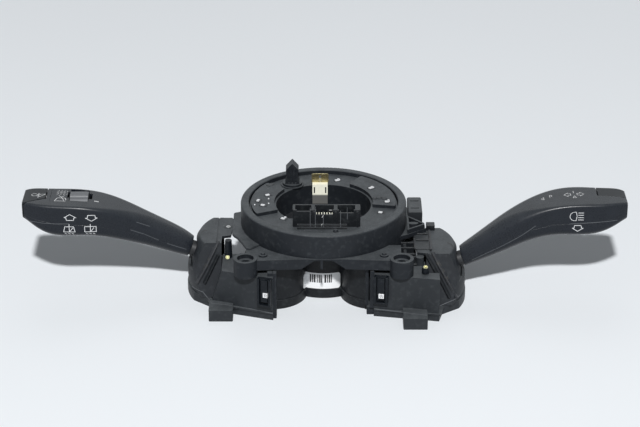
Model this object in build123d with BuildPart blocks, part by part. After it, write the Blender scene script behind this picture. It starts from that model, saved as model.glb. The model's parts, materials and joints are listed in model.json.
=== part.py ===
from build123d import *

import os
from dataclasses import dataclass
from math import atan2, cos, degrees, radians, sin

# Combination stalk switch of a car: a clock spring in the middle, a wiper switch unit at the left and a turn
# signal switch unit at the right, each with its stalk. Millimetres. The origin lies on the steering column's
# axis, on the seat of the column collar; +Z runs along the column to the steering wheel, +X to the turn signal
# stalk. Both switch units are written once, with "out" measured from the column's axis towards the stalk.

# ---- fits
FREE = 0.3  # gap between pieces that pass each other
SLIDE = 0.15  # gap round a guided plunger or button
PIN_FIT = 0.05  # radial running fit of pins

# ---- column
COLUMN_R = 21.0
COLLAR_T = 6.5

# ---- clock spring
RING_TOP = 60.0
RING_R = 57.5
RIM_W = 5.7
PLATE_Z = 40.0  # underside of the carrier plate
PLATE_T = 3.0
FLOOR_T = 2.0
HUB_R = 33.0  # bore of the rotor hub
HUB_WALL = 2.3
ROTOR_DROP = 3.0  # rotor plate below the rim
ROTOR_T = 2.0
PAD_H = 2.5
PAD_LEFT = (142.0, 204.0)  # sectors of the raised pads, in degrees
PAD_RIGHT = (-9.0, 58.0)
WEB_FRONT = 23.0  # the web that carries the socket block starts this far in front of the axis

# ---- driver peg, socket block and contact clip on the rotor
PEG_AT = (-22.0, 33.0)
PEG_W = 9.0
PEG_H = 17.4
PEG_FOOT_R = 7.0
SOCKET_W = 46.0
SOCKET_X = 2.0
SOCKET_FRONT = 36.5
SOCKET_DEPTH = 9.5
SOCKET_H = 12.6
CLIP_W = 12.0
CLIP_X = -2.4
CLIP_H = 7.4
CLIP_T = 0.9

# ---- angle sensor body under the carrier
DRUM_R = 31.0
CHEEK_R = 24.0
CHEEK_X = 36.0
CHEEK_Y = -24.0
BODY_HALF = 33.5
BODY_BACK = 38.0
SENSOR_TOP = 35.3
LID_T = 2.0
SKIN = 2.2  # moulded wall

# ---- carrier
BOSS_X = 52.7
BOSS_Y = -58.0
BOSS_R = 8.1
BOSS_TOP = 44.0
BOSS_HOLE_R = 3.3
ARM_FRONT = 60.5
SKIRT_Z = 35.5
SKIRT_T = 2.4
WINDOW_TOP_W = 12.0
WINDOW_BOTTOM_W = 30.0

# ---- switch units
TRAY_H = 6.0
TRAY_FLOOR = 2.5
TRAY_LIP = 0.9  # the tray's front rim stands this far before the housing
UNIT_IN = 34.2  # side of a unit that meets the sensor body
UNIT_TOP = 31.8
COVER_IN = 70.0  # the domes of the ball covers start this far out
HOUSING_BACK = 14.0  # the front housing ends this far in front of the gimbal centre
BALL_R = 46.5  # outside of the ball cover, about the gimbal centre
BALL_WALL = 1.8
SHIELD_WALL = 1.7
SHIELD_GAP = 0.5  # between the shield and the cover over it
SHIELD_W = 30.0
SHIELD_H = 19.4
SHIELD_SHIFT = (1.2, 1.6)  # the shield's middle lies this far behind and below the neck
SHIELD_START = BALL_R - 6.5  # the neck is thick from here outwards
OPENING_W = 38.0  # opening of the ball cover, across and up
OPENING_H = 18.0
OPENING_SHIFT = 1.2
STALK_START = BALL_R + 1.5  # the stalk shells start this far from the gimbal centre
YOKE_L = 14.0
YOKE_W = 24.0
YOKE_H = 15.0
LEVER_W = 10.0
LEVER_H = 7.0
TRUNNION_R = 3.0
TRUNNION_L = 2.9
TRACK_R = 11.3  # detent track, about the gimbal centre
CROSS_PIN_R = 2.0
NECK_R = 5.4
PLUNGER_R = 2.0
FOOT_W = 16.4
FOOT_H = 8.4
LATCH_W = 9.6
LATCH_T = 4.0
LATCH_Z = (11.5, 31.8)

# ---- stalks
STALK_WALL = 2.2
PARTING = 1.6  # parting line below the stalk's middle
CAP_TRAVEL = 0.6
CAP_RUN = 16.0  # length of the cap's slanted side
CAP_SILL = 3.7  # the cap ends this far below the head's middle
WHEEL_R = 9.0
WHEEL_W = 12.4
WHEEL_FLUTES = 12
WHEEL_AT = (167.6, -14.1, 63.3)  # out, y and z
POCKET_W = 2.6  # open pocket at each side of the wheel
AXLE_R = 1.5
BUTTON_AT = (181.4, -14.4)  # out and y
BUTTON_L = 11.4
BUTTON_W = 22.6
BUTTON_DEPTH = 3.6
BUTTON_TRAVEL = 0.8


@dataclass(frozen=True)
class Station:
    """One cross-section of a stalk: distance out, middle, width, height, corner radius and front crease radius."""

    out: float
    y: float
    z: float
    width: float
    height: float
    corner: float
    crease: float


@dataclass(frozen=True)
class SwitchUnit:
    """What differs between the two switch units. Places are (out, y) or (out, y, z)."""

    name: str
    side: int
    pivot: tuple
    face_in: tuple
    face_out: tuple
    face_top_out: float
    foot_out: float
    foot_front: float
    roof: float
    roof_front: float
    neck: tuple
    stations: tuple
    cap_out: float
    cap_line: tuple

    def at(self, out, y, z=0.0):
        """Turn a place given outwards into x, y and z."""
        return (self.side * out, y, z)

    def centre(self):
        """Return the gimbal centre."""
        return self.at(*self.pivot)

    def elevation(self):
        """Return the angle at which the neck rises from the gimbal centre, in degrees."""
        return degrees(atan2(self.neck[1] - self.pivot[2], self.neck[0] - self.pivot[0]))

    def neck_plane(self):
        """Return the plane across the neck direction, through the gimbal centre, its x axis along Y."""
        rise = radians(self.elevation())
        return Plane(self.centre(), x_dir=(0, 1, 0), z_dir=(self.side * cos(rise), 0, sin(rise)))

    def side_plane(self, y):
        """Return the upright plane at y whose x axis points outwards and whose y axis points up."""
        return Plane((0, y, 0), x_dir=(self.side, 0, 0), z_dir=(0, -self.side, 0))

    def face_y(self, out):
        """Return y of the front face at a distance out."""
        share = (out - self.face_in[0]) / (self.face_out[0] - self.face_in[0])
        return self.face_in[1] + share * (self.face_out[1] - self.face_in[1])

    def face_plane(self, out, z):
        """Return the plane of the front face at a place on it, facing forwards, its y axis up."""
        run = Vector(*self.at(*self.face_out)) - Vector(*self.at(*self.face_in))
        return Plane(self.at(out, self.face_y(out), z), x_dir=run * self.side, z_dir=run.cross(Vector(0, 0, self.side)))


WIPER = SwitchUnit(
    name="wiper",
    side=-1,
    pivot=(48.0, -13.0, 14.5),
    face_in=(UNIT_IN, -64.3),
    face_out=(76.5, -50.5),
    face_top_out=69.2,
    foot_out=69.8,
    foot_front=66.3,
    roof=42.0,
    roof_front=-20.5,
    neck=(91.5, 30.0),
    stations=(
        Station(86.0, -13.0, 27.5, 12.0, 12.0, 5.6, 5.6),
        Station(94.4, -13.0, 33.2, 15.5, 16.8, 7.0, 7.0),
        Station(110.0, -13.5, 40.4, 20.0, 20.6, 8.5, 8.5),
        Station(125.0, -14.8, 47.2, 24.0, 22.6, 9.0, 8.6),
        Station(140.0, -16.2, 53.5, 29.0, 22.8, 7.4, 5.4),
        Station(158.7, -16.9, 58.3, 33.5, 22.2, 5.5, 2.4),
        Station(183.6, -16.9, 59.35, 33.5, 23.3, 5.5, 2.2),
        Station(196.0, -16.8, 62.2, 31.0, 18.8, 5.0, 2.2),
        Station(205.5, -16.2, 65.0, 25.0, 12.4, 4.6, 2.4),
    ),
    cap_out=190.6,
    cap_line=(-20.8, -30.0),
)

TURN = SwitchUnit(
    name="turn",
    side=1,
    pivot=(51.5, -25.0, 13.0),
    face_in=(UNIT_IN, -58.2),
    face_out=(78.4, -66.2),
    face_top_out=78.4,
    foot_out=62.0,
    foot_front=78.0,
    roof=39.7,
    roof_front=-42.4,
    neck=(95.0, 28.0),
    stations=(
        Station(89.0, -25.0, 25.0, 12.0, 12.0, 5.6, 5.6),
        Station(98.0, -24.5, 31.2, 15.5, 16.8, 7.0, 7.0),
        Station(113.0, -23.0, 39.9, 20.0, 21.4, 8.5, 8.5),
        Station(128.0, -21.2, 48.3, 24.4, 24.6, 9.0, 8.6),
        Station(142.0, -18.6, 54.5, 29.0, 23.4, 7.4, 5.4),
        Station(157.0, -16.0, 58.2, 33.0, 22.4, 5.5, 2.4),
        Station(186.5, -15.6, 59.8, 33.2, 23.0, 5.5, 2.2),
        Station(198.0, -15.4, 61.9, 30.5, 18.6, 5.0, 2.2),
        Station(207.5, -15.0, 63.8, 24.5, 12.4, 4.6, 2.4),
    ),
    cap_out=188.5,
    cap_line=(-16.0, -18.0),
)

UNITS = (WIPER, TURN)


def save(part, label):
    """Label one piece and write it."""
    part.label = label
    export_step(part, f"parts/{label}.step")


# ---------------------------------------------------------------- centre

rotor_z = RING_TOP - ROTOR_DROP
plate_top = PLATE_Z + PLATE_T
rim_r = RING_R - RIM_W
hub_out = HUB_R + HUB_WALL
lid_top = SENSOR_TOP + LID_T
lug_x = RING_R + 13.8
connector_x = RING_R + 6.7


def body_outline(grow):
    """Plan of the sensor body: the drum between two round cheeks, square at the back."""
    with BuildSketch() as plan:
        Circle(DRUM_R + grow)
        with Locations((-CHEEK_X, CHEEK_Y), (CHEEK_X, CHEEK_Y)):
            Circle(CHEEK_R + grow)
        with Locations((0, BODY_BACK / 2 + grow / 2)):
            Rectangle(2 * CHEEK_X, BODY_BACK + grow)
        Rectangle(2 * (BODY_HALF + min(grow, 0)), 4 * BODY_BACK, mode=Mode.INTERSECT)
    return plan.sketch


def column_collar():
    """Base of the sensor body, with the collar that seats on the steering column."""
    with BuildPart() as collar:
        with BuildSketch():
            add(body_outline(0.6))
            Circle(COLUMN_R, mode=Mode.SUBTRACT)
        extrude(amount=COLLAR_T)
        with BuildSketch(Plane.XY.offset(COLLAR_T)):
            Circle(COLUMN_R + 3.2)
            Circle(COLUMN_R, mode=Mode.SUBTRACT)
        extrude(amount=1.5)
        with PolarLocations(COLUMN_R + 5.5, 3, start_angle=30):
            CounterBoreHole(1.6, 2.8, 1.6)
    return collar.part


def sensor_housing():
    """Tray of the steering angle sensor, with the drum front and an inner tube round the column."""
    with BuildPart() as housing:
        with BuildSketch(Plane.XY.offset(COLLAR_T)):
            add(body_outline(0))
            Circle(COLUMN_R + 3.4, mode=Mode.SUBTRACT)
        extrude(amount=SENSOR_TOP - COLLAR_T)
        with BuildSketch(Plane.XY.offset(COLLAR_T + SKIN)):
            add(body_outline(-SKIN))
        extrude(amount=SENSOR_TOP - COLLAR_T - SKIN, mode=Mode.SUBTRACT)
        with BuildSketch(Plane.XY.offset(COLLAR_T + 1.5)):
            Circle(COLUMN_R + SKIN)
            Circle(COLUMN_R, mode=Mode.SUBTRACT)
        extrude(amount=SENSOR_TOP - COLLAR_T - 1.5)
        with BuildSketch(Plane.XY.offset(COLLAR_T)):
            Circle(COLUMN_R + SKIN + 4.0)
            Circle(COLUMN_R + 3.4, mode=Mode.SUBTRACT)
        extrude(amount=SKIN)
        with BuildSketch(Plane.XY.offset(COLLAR_T + 1.5)):
            Circle(COLUMN_R + SKIN + 4.0)
            Circle(COLUMN_R + SKIN, mode=Mode.SUBTRACT)
        extrude(amount=SKIN - 1.5)
    return housing.part


def sensor_lid():
    """Lid of the sensor tray, open in the middle for the code ring's sleeve."""
    with BuildPart() as lid:
        with BuildSketch(Plane.XY.offset(SENSOR_TOP)):
            add(body_outline(0))
            Circle(COLUMN_R + 7.3, mode=Mode.SUBTRACT)
        extrude(amount=LID_T)
    return lid.part


def sensor_board():
    """Circuit board of the angle sensor, on the tray's floor."""
    with BuildPart() as board:
        with BuildSketch(Plane.XY.offset(COLLAR_T + SKIN)):
            add(body_outline(-SKIN - 0.6))
            Circle(COLUMN_R + SKIN + 4.6, mode=Mode.SUBTRACT)
        extrude(amount=1.6)
    return board.part


def code_ring():
    """Slotted code ring on its sleeve, hung under the rotor hub, which it also keeps in place."""
    inner = COLUMN_R + 4.0
    with BuildPart() as ring:
        with BuildSketch(Plane.XY.offset(18.0)):
            Circle(inner + 1.8)
            Circle(inner, mode=Mode.SUBTRACT)
        extrude(amount=PLATE_Z - FREE - 18.0)
        with BuildSketch(Plane.XY.offset(18.0)):
            Circle(DRUM_R - SKIN - 0.5)
            Circle(inner, mode=Mode.SUBTRACT)
            with PolarLocations(DRUM_R - SKIN - 1.2, 24):
                Rectangle(2.6, 1.6, mode=Mode.SUBTRACT)
        extrude(amount=1.4)
        with BuildSketch(Plane.XY.offset(lid_top + 0.6)):
            Circle(hub_out + 2.2)
            Circle(inner, mode=Mode.SUBTRACT)
        extrude(amount=PLATE_Z - FREE - lid_top - 0.6)
    return ring.part


def carrier():
    """Carrier plate with its front arms, screw bosses, skirt, window, gusset and connector lug."""
    with BuildPart() as frame:
        with BuildSketch(Plane.XY.offset(SKIRT_Z)) as plan:
            Circle(RING_R)
            Polygon(
                (-BOSS_X, -ARM_FRONT), (-14, -RING_R - 0.4), (14, -RING_R - 0.4), (BOSS_X, -ARM_FRONT),
                (BOSS_X, -36), (-BOSS_X, -36), align=None,
            )
        extrude(amount=plate_top - SKIRT_Z)
        with BuildSketch(Plane.XY.offset(SKIRT_Z)):
            offset(plan.sketch, -SKIRT_T)
        extrude(amount=PLATE_Z - SKIRT_Z, mode=Mode.SUBTRACT)
        with BuildSketch(Plane.XY.offset(UNIT_TOP)):
            with Locations((-BOSS_X, BOSS_Y), (BOSS_X, BOSS_Y)):
                Circle(BOSS_R)
        extrude(amount=BOSS_TOP - UNIT_TOP)
        with BuildSketch(Plane.XY.offset(lid_top)):
            with Locations((-28, -34), (28, -34), (-28, 32), (28, 32)):
                Circle(4.0)
        extrude(amount=PLATE_Z - lid_top)
        # gusset over the turn signal unit, and the lug of the vehicle connector
        with BuildSketch(Plane.XY.offset(PLATE_Z)):
            Polygon((50, -24), (RING_R + 1, -19), (lug_x, -9.3), (RING_R + 1, 5), (50, 5), align=None)
            Polygon((50, 5), (connector_x - 5.0, 8), (connector_x - 5.0, 25), (48, 25), align=None)
        extrude(amount=PLATE_T)
        with BuildSketch(Plane.XY.offset(plate_top)) as web:
            Polygon((RING_R + 0.4, -19), (lug_x, -9.3), (RING_R + 0.4, 5), align=None)
            fillet(web.vertices().sort_by(Axis.X)[-1], 2.5)
        extrude(amount=3.4)
        with BuildSketch(Plane.XY.offset(plate_top)):
            offset(web.sketch, -1.4)
            with Locations((RING_R + 4.8, -8.0)):
                Ellipse(3.6, 1.9, mode=Mode.SUBTRACT)
        extrude(amount=3.4, mode=Mode.SUBTRACT)
        # hub bore, boss screw holes, front window
        with Locations((0, 0, plate_top)):
            Hole(hub_out + 0.7)
        with Locations((-BOSS_X, BOSS_Y, BOSS_TOP), (BOSS_X, BOSS_Y, BOSS_TOP)):
            CounterBoreHole(BOSS_HOLE_R, BOSS_R - 2.4, 3.0)
        with BuildSketch(Plane.XZ.offset(RING_R - 2.6)):
            Polygon(
                (-WINDOW_TOP_W / 2, plate_top - 1.0), (WINDOW_TOP_W / 2, plate_top - 1.0),
                (WINDOW_BOTTOM_W / 2, SKIRT_Z), (-WINDOW_BOTTOM_W / 2, SKIRT_Z), align=None,
            )
        extrude(amount=8.0, mode=Mode.SUBTRACT)
        with Locations((-1.3, -RING_R + 1.8, SKIRT_Z)):
            Box(1.5, 4.4, plate_top - SKIRT_Z, align=(Align.CENTER, Align.CENTER, Align.MIN))
        with Locations((-41.0, -52.5, plate_top), (41.0, -52.5, plate_top)):
            Cylinder(3.0, 1.2, align=(Align.CENTER, Align.CENTER, Align.MIN))
    return frame.part


def stator_housing():
    """Clock-spring housing: outer wall with a broad rounded rim, and the floor under the cable coil."""
    with BuildPart() as stator:
        with BuildSketch(Plane.XZ):
            with BuildLine():
                Polyline(
                    (hub_out + FREE, plate_top), (RING_R, plate_top), (RING_R, RING_TOP), (rim_r, RING_TOP),
                    (rim_r, plate_top + FLOOR_T), (hub_out + FREE, plate_top + FLOOR_T), close=True,
                )
            make_face()
        revolve(axis=Axis.Z)
        rim = stator.edges().filter_by(GeomType.CIRCLE).group_by(Axis.Z)[-1]
        fillet(rim.sort_by(Edge.length)[-1], 1.4)
        chamfer(rim.sort_by(Edge.length)[0], 0.5)
    return stator.part


def ribbon_coil():
    """Flat cable of the clock spring, wound against the outer wall."""
    with BuildPart() as coil:
        with BuildSketch(Plane.XY.offset(plate_top + FLOOR_T)):
            Circle(rim_r - 0.4)
            Circle(rim_r - 5.4, mode=Mode.SUBTRACT)
            for turn in range(3):
                Circle(rim_r - 1.4 - 1.3 * turn, mode=Mode.ADD)
                Circle(rim_r - 1.7 - 1.3 * turn, mode=Mode.SUBTRACT)
            Circle(rim_r - 5.4, mode=Mode.SUBTRACT)
        extrude(amount=rotor_z - ROTOR_T - plate_top - FLOOR_T - 0.8)
    return coil.part


def sector(start, stop, inner, outer):
    """Sketch of a ring sector between two angles."""
    with BuildSketch() as shape:
        with BuildLine():
            low = PolarLine((0, 0), outer, start)
            high = PolarLine((0, 0), outer, stop)
            RadiusArc(low @ 1, high @ 1, -outer)
        make_face()
        Circle(inner, mode=Mode.SUBTRACT)
    return shape.sketch


def rotor():
    """Clock-spring rotor: hub tube, top plate with raised pads, web for the socket block, peg foot."""
    with BuildPart() as spin:
        with BuildSketch(Plane.XY.offset(PLATE_Z - FREE)):
            Circle(hub_out)
            Circle(HUB_R, mode=Mode.SUBTRACT)
        extrude(amount=rotor_z - PLATE_Z + FREE)
        with BuildSketch(Plane.XY.offset(rotor_z - ROTOR_T)) as top:
            Circle(rim_r - 0.4)
            Circle(HUB_R, mode=Mode.SUBTRACT)
        extrude(amount=ROTOR_T)
        with BuildSketch(Plane.XY.offset(rotor_z - ROTOR_T)):
            with Locations((0, -HUB_R)):
                Rectangle(2 * HUB_R, 2 * (HUB_R - WEB_FRONT))
            Circle(hub_out, mode=Mode.INTERSECT)
        extrude(amount=ROTOR_T)
        for start, stop in (PAD_LEFT, PAD_RIGHT):
            with BuildSketch(Plane.XY.offset(rotor_z)) as pad:
                add(sector(start, stop, HUB_R + 1.2, rim_r - 1.5))
                fillet(pad.vertices(), 1.2)
            extrude(amount=PAD_H)
        with Locations((*PEG_AT, rotor_z)):
            Cylinder(PEG_FOOT_R + 1.2, 0.8, align=(Align.CENTER, Align.CENTER, Align.MIN))
            Cylinder(1.5, 10, mode=Mode.SUBTRACT)
    return spin.part


def driver_peg():
    """Peg that the steering wheel drives: round foot, squared shank and a roof-shaped tip."""
    foot_z = rotor_z + 0.8
    with BuildPart() as peg:
        with BuildSketch(Plane.XY.offset(foot_z)):
            with Locations(PEG_AT):
                Circle(PEG_FOOT_R)
        extrude(amount=1.6)
        with BuildSketch(Plane.XZ.offset(-PEG_AT[1] - PEG_W / 2)):
            with BuildLine():
                Polyline(
                    (PEG_AT[0] - PEG_W / 2 - 1.0, foot_z), (PEG_AT[0] + PEG_W / 2 + 1.0, foot_z),
                    (PEG_AT[0] + PEG_W / 2 - 0.6, foot_z + 6), (PEG_AT[0] + PEG_W / 2, foot_z + PEG_H - 5),
                    (PEG_AT[0], foot_z + PEG_H), (PEG_AT[0] - PEG_W / 2, foot_z + PEG_H - 5),
                    (PEG_AT[0] - PEG_W / 2 + 0.6, foot_z + 6), close=True,
                )
            make_face()
        extrude(amount=PEG_W)
        fillet(peg.edges().filter_by(Axis.Z, reverse=True).group_by(Axis.Z)[-1], 0.6)
        # flutes down the front and the back
        with BuildSketch(Plane.XY.offset(foot_z + 2.4)):
            with Locations(PEG_AT):
                with GridLocations(2.4, PEG_W, 3, 2):
                    Rectangle(1.1, 1.2)
        extrude(amount=PEG_H - 8.0, mode=Mode.SUBTRACT)
    return peg.part


def socket_block():
    """Connector block for the steering wheel's plugs: three sockets with stepped rims and a front step."""
    left = SOCKET_X - SOCKET_W / 2
    with BuildPart() as block:
        with BuildSketch(Plane.XY.offset(rotor_z)):
            with Locations((SOCKET_X, -SOCKET_FRONT + SOCKET_DEPTH / 2)):
                RectangleRounded(SOCKET_W, SOCKET_DEPTH, 1.0)
        extrude(amount=SOCKET_H)
        for depth, height in ((3.8, 1.0), (2.0, 2.2)):
            with BuildSketch(Plane.XY.offset(rotor_z)):
                with Locations((SOCKET_X - 3, -SOCKET_FRONT - depth / 2)):
                    Rectangle(SOCKET_W - 12, depth)
            extrude(amount=height)
        with BuildSketch(Plane.XY.offset(rotor_z)):
            with Locations((left + 14.3, -SOCKET_FRONT), (left + 29.2, -SOCKET_FRONT), (left + 44, -SOCKET_FRONT)):
                Rectangle(1.4, 1.6)
        extrude(amount=SOCKET_H - 1.0)
        cells = ((left + 7.2, 11.0, 1.0), (left + 21.5, 13.0, 3.6), (left + 36.5, 12.0, 2.2))
        for middle, width, notch in cells:
            with BuildSketch(Plane.XY.offset(rotor_z + SOCKET_H)):
                with Locations((middle, -SOCKET_FRONT + SOCKET_DEPTH / 2)):
                    Rectangle(width, SOCKET_DEPTH - 2.4)
            extrude(amount=-9.0, mode=Mode.SUBTRACT)
            with BuildSketch(Plane.XZ.offset(SOCKET_FRONT)):
                with Locations((middle, rotor_z + SOCKET_H)):
                    Rectangle(width - 2.0, 2 * notch)
            extrude(amount=-1.6, mode=Mode.SUBTRACT)
    return block.part


def contact_clip():
    """Upright brass contact with a slot, folded over the hub's edge."""
    back = HUB_R + 3.0
    with BuildPart() as clip:
        with BuildSketch(Plane.XZ.offset(-back)):
            with Locations((CLIP_X, rotor_z + CLIP_H / 2)):
                RectangleRounded(CLIP_W, CLIP_H, 1.2)
            with Locations((CLIP_X, rotor_z + CLIP_H / 2)):
                Rectangle(1.4, CLIP_H - 2.6, mode=Mode.SUBTRACT)
            with Locations((CLIP_X, rotor_z + 2.4)):
                Circle(1.2, mode=Mode.SUBTRACT)
        extrude(amount=CLIP_T)
        with Locations((CLIP_X, back + 3.0, rotor_z)):
            Box(CLIP_W - 2, 7.0, CLIP_T, align=(Align.CENTER, Align.CENTER, Align.MIN))
    return clip.part


def contact_tongue():
    """Bright spring tongue in front of the clip, bent down the hub's bore."""
    back = HUB_R + 3.0
    with BuildPart() as tongue:
        with BuildSketch(Plane.YZ.offset(CLIP_X - CLIP_W / 2 + 0.6)):
            Polygon(
                (back - CLIP_T, rotor_z), (back - CLIP_T, rotor_z + 0.9), (HUB_R - 1.9, rotor_z + 0.9),
                (HUB_R - 1.9, rotor_z - 14), (HUB_R - 1.1, rotor_z - 14), (HUB_R - 1.1, rotor_z), align=None,
            )
        extrude(amount=CLIP_W - 1.2)
        with Locations((CLIP_X, HUB_R, rotor_z - 3.6)):
            with GridLocations(CLIP_W - 4.0, 0, 2, 1):
                Box(0.9, 8, 5.0, mode=Mode.SUBTRACT)
    return tongue.part


def vehicle_connector():
    """Connector housing behind the gusset, open at the back, with its contact pins."""
    with BuildPart() as housing:
        with BuildSketch(Plane.XY.offset(22.0)) as plan:
            with Locations((connector_x, 17.5)):
                Rectangle(10.0, 25.0)
        extrude(amount=26.5)
        chamfer(housing.edges().filter_by(Axis.Y).group_by(Axis.Z)[-1], 0.8)
        with Locations((connector_x, 30.0, 35.0)):
            Box(7.0, 24.0, 22.0, mode=Mode.SUBTRACT)
        with Locations((connector_x, 12.0, 48.5), (connector_x, 24.0, 48.5)):
            Box(6.0, 1.4, 1.6, mode=Mode.SUBTRACT)
        with Locations((connector_x, 18.0, 35.0)):
            with GridLocations(3.4, 0, 2, 1):
                with Locations((0, 0, -6), (0, 0, -2), (0, 0, 2), (0, 0, 6)):
                    Box(0.7, 9.0, 0.7, align=(Align.CENTER, Align.MIN, Align.CENTER))
    return housing.part


# ---------------------------------------------------------------- switch units


def ball(unit, radius):
    """Return a ball about the gimbal centre."""
    with BuildPart() as whole:
        with Locations(unit.centre()):
            Sphere(radius, rotation=(0, 0, 90))
    return whole.part


def tray_outline(unit):
    """Plan of a unit's base tray: slanted front, round outer side about the gimbal, straight back."""
    out, y, _ = unit.pivot
    radius = BALL_R + 0.4
    front, middle, back = (
        unit.at(out + radius * cos(radians(a)), y + radius * sin(radians(a)))[:2] for a in (-28, 0, 32)
    )
    with BuildSketch() as plan:
        with BuildLine():
            Polyline(
                back, unit.at(62, y + 29)[:2], unit.at(UNIT_IN, y + 29)[:2], unit.at(*unit.face_in)[:2],
                unit.at(*unit.face_out)[:2], unit.at(unit.face_out[0] + 2.5, unit.pivot[1] - 31)[:2], front,
            )
            ThreePointArc(front, middle, back)
        make_face()
    return plan.sketch


def unit_base(unit):
    """Base tray of a switch unit, with the foot tab and the lower bearing of the gimbal."""
    out, y, z = unit.pivot
    with BuildPart() as base:
        with BuildSketch():
            add(tray_outline(unit))
        extrude(amount=TRAY_H)
        with BuildSketch(Plane.XY.offset(TRAY_H - 1.4)):
            offset(tray_outline(unit), TRAY_LIP)
            with Locations(unit.at(UNIT_IN + 50, unit.pivot[1] - 51)[:2]):
                Rectangle(100, 40, mode=Mode.INTERSECT)
        extrude(amount=1.4)
        with BuildSketch(Plane.XY.offset(TRAY_FLOOR)):
            offset(tray_outline(unit), -SKIN)
        extrude(amount=TRAY_H, mode=Mode.SUBTRACT)
        with BuildSketch():
            with Locations(unit.at(out, y)[:2]):
                Circle(7.0)
        extrude(amount=z - YOKE_H / 2 - FREE)
        with Locations(unit.at(out, y, z)):
            Cylinder(TRUNNION_R + PIN_FIT, 2 * (z - TRAY_FLOOR), mode=Mode.SUBTRACT)
        with BuildSketch():
            with Locations(unit.at(unit.foot_out, (unit.face_y(unit.foot_out) - unit.foot_front) / 2 + 1.0)[:2]):
                RectangleRounded(FOOT_W, unit.foot_front + unit.face_y(unit.foot_out) + 2.0, 0.9)
        extrude(amount=FOOT_H)
        with BuildSketch(Plane.XY.offset(TRAY_H)):
            add(tray_outline(unit))
        extrude(amount=FOOT_H, mode=Mode.SUBTRACT)
    return base.part


def detent_track(unit):
    """Return the detent pad on the inner wall, hollowed about the gimbal centre for the plunger's nose."""
    out, y, z = unit.pivot
    face = out - TRACK_R + 0.6
    with BuildPart() as track:
        with BuildSketch(Plane.XY.offset(TRAY_H)):
            with Locations(unit.at((UNIT_IN + face) / 2, y)[:2]):
                Rectangle(face - UNIT_IN, 13)
        extrude(amount=z + YOKE_H / 2 + FREE - TRAY_H)
        add(ball(unit, TRACK_R), mode=Mode.SUBTRACT)
    return track.part


def unit_housing(unit):
    """Front housing of a switch unit: contact chamber, inner wall and the bridge with the upper bearing."""
    out, y, z = unit.pivot
    back = y - HOUSING_BACK
    shoulder = unit.pivot[1] - 31.0
    with BuildPart() as housing:
        with BuildSketch(Plane.XY.offset(TRAY_H)):
            Polygon(
                unit.at(*unit.face_in)[:2], unit.at(*unit.face_out)[:2], unit.at(unit.face_out[0], shoulder)[:2],
                unit.at(COVER_IN - 0.7, shoulder)[:2], unit.at(COVER_IN - 0.7, back)[:2],
                unit.at(UNIT_IN, back)[:2], align=None,
            )
        extrude(amount=UNIT_TOP - TRAY_H)
        with BuildSketch(unit.side_plane(0)):
            Polygon(
                (UNIT_IN - 5, TRAY_H), (unit.face_out[0], TRAY_H), (unit.face_top_out, UNIT_TOP),
                (UNIT_IN - 5, UNIT_TOP), align=None,
            )
        extrude(amount=120, both=True, mode=Mode.INTERSECT)
        # contact chamber, open at the bottom over the tray
        chamber_front = max(unit.face_y(UNIT_IN + 2), unit.face_y(66)) + 3.0
        with BuildSketch(Plane.XY.offset(TRAY_H)):
            Polygon(
                unit.at(UNIT_IN + SKIN, chamber_front)[:2], unit.at(64, chamber_front)[:2],
                unit.at(64, back - SKIN)[:2], unit.at(UNIT_IN + SKIN, back - SKIN)[:2], align=None,
            )
        extrude(amount=UNIT_TOP - TRAY_H - SKIN, mode=Mode.SUBTRACT)
        # inner side wall and the bridge over the yoke
        with BuildSketch(Plane.XY.offset(TRAY_H)):
            Polygon(
                unit.at(UNIT_IN, back)[:2], unit.at(UNIT_IN + SKIN, back)[:2], unit.at(UNIT_IN + SKIN, y + 29)[:2],
                unit.at(UNIT_IN, y + 29)[:2], align=None,
            )
        extrude(amount=z + YOKE_H / 2 + 4.0 - TRAY_H)
        with BuildSketch(Plane.XY.offset(z + YOKE_H / 2 + FREE)):
            with Locations(unit.at((UNIT_IN + out) / 2, y)[:2]):
                Rectangle(out - UNIT_IN, 2 * (TRUNNION_R + 3))
            with Locations(unit.at(out, y)[:2]):
                Circle(TRUNNION_R + 3)
        extrude(amount=3.7 - FREE)
        with Locations(unit.at(out, y, z + YOKE_H / 2 + 2)):
            Cylinder(TRUNNION_R + PIN_FIT, 8, mode=Mode.SUBTRACT)
        add(detent_track(unit))
        # locating post, where the cover's roof strip reaches over the housing
        if unit.roof_front < back:
            with BuildSketch(Plane.XY.offset(UNIT_TOP)):
                with Locations(unit.at(COVER_IN - 4.4, back - 4.2)[:2]):
                    Circle(2.8)
            extrude(amount=unit.roof - BALL_WALL - UNIT_TOP)
    return housing.part


def unit_board(unit):
    """Contact board that stands in the chamber."""
    chamber_front = max(unit.face_y(UNIT_IN + 2), unit.face_y(66)) + 3.0
    with BuildPart() as board:
        with Locations(unit.at((UNIT_IN + 66) / 2, chamber_front + 4.0, TRAY_H + 0.2)):
            Box(24.0, 1.6, UNIT_TOP - TRAY_H - SKIN - 0.4, align=(Align.CENTER, Align.CENTER, Align.MIN))
        with Locations(unit.at((UNIT_IN + 66) / 2, chamber_front + 5.6, 18.0)):
            with GridLocations(7.0, 1.0, 3, 1):
                Box(4.6, 1.8, 9.0)
    return board.part


def unit_latch(unit):
    """Snap latch on the front face: a frame with side rails and the spring tongue in it."""
    low, high = LATCH_Z
    out = UNIT_IN + LATCH_W / 2 + 0.3
    with BuildPart() as latch:
        with BuildSketch(unit.face_plane(out, (low + high) / 2)):
            Rectangle(LATCH_W, high - low)
        extrude(amount=LATCH_T)
        with BuildSketch(unit.face_plane(out, (low + high) / 2 + 1.0).offset(LATCH_T)):
            Rectangle(LATCH_W - 3.0, high - low)
        extrude(amount=1.0 - LATCH_T, mode=Mode.SUBTRACT)
        with BuildSketch(unit.face_plane(out, (low + high) / 2 + 0.6).offset(1.0)):
            Rectangle(LATCH_W - 5.0, high - low - 4.0)
        extrude(amount=LATCH_T - 2.0)
    return latch.part


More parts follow.
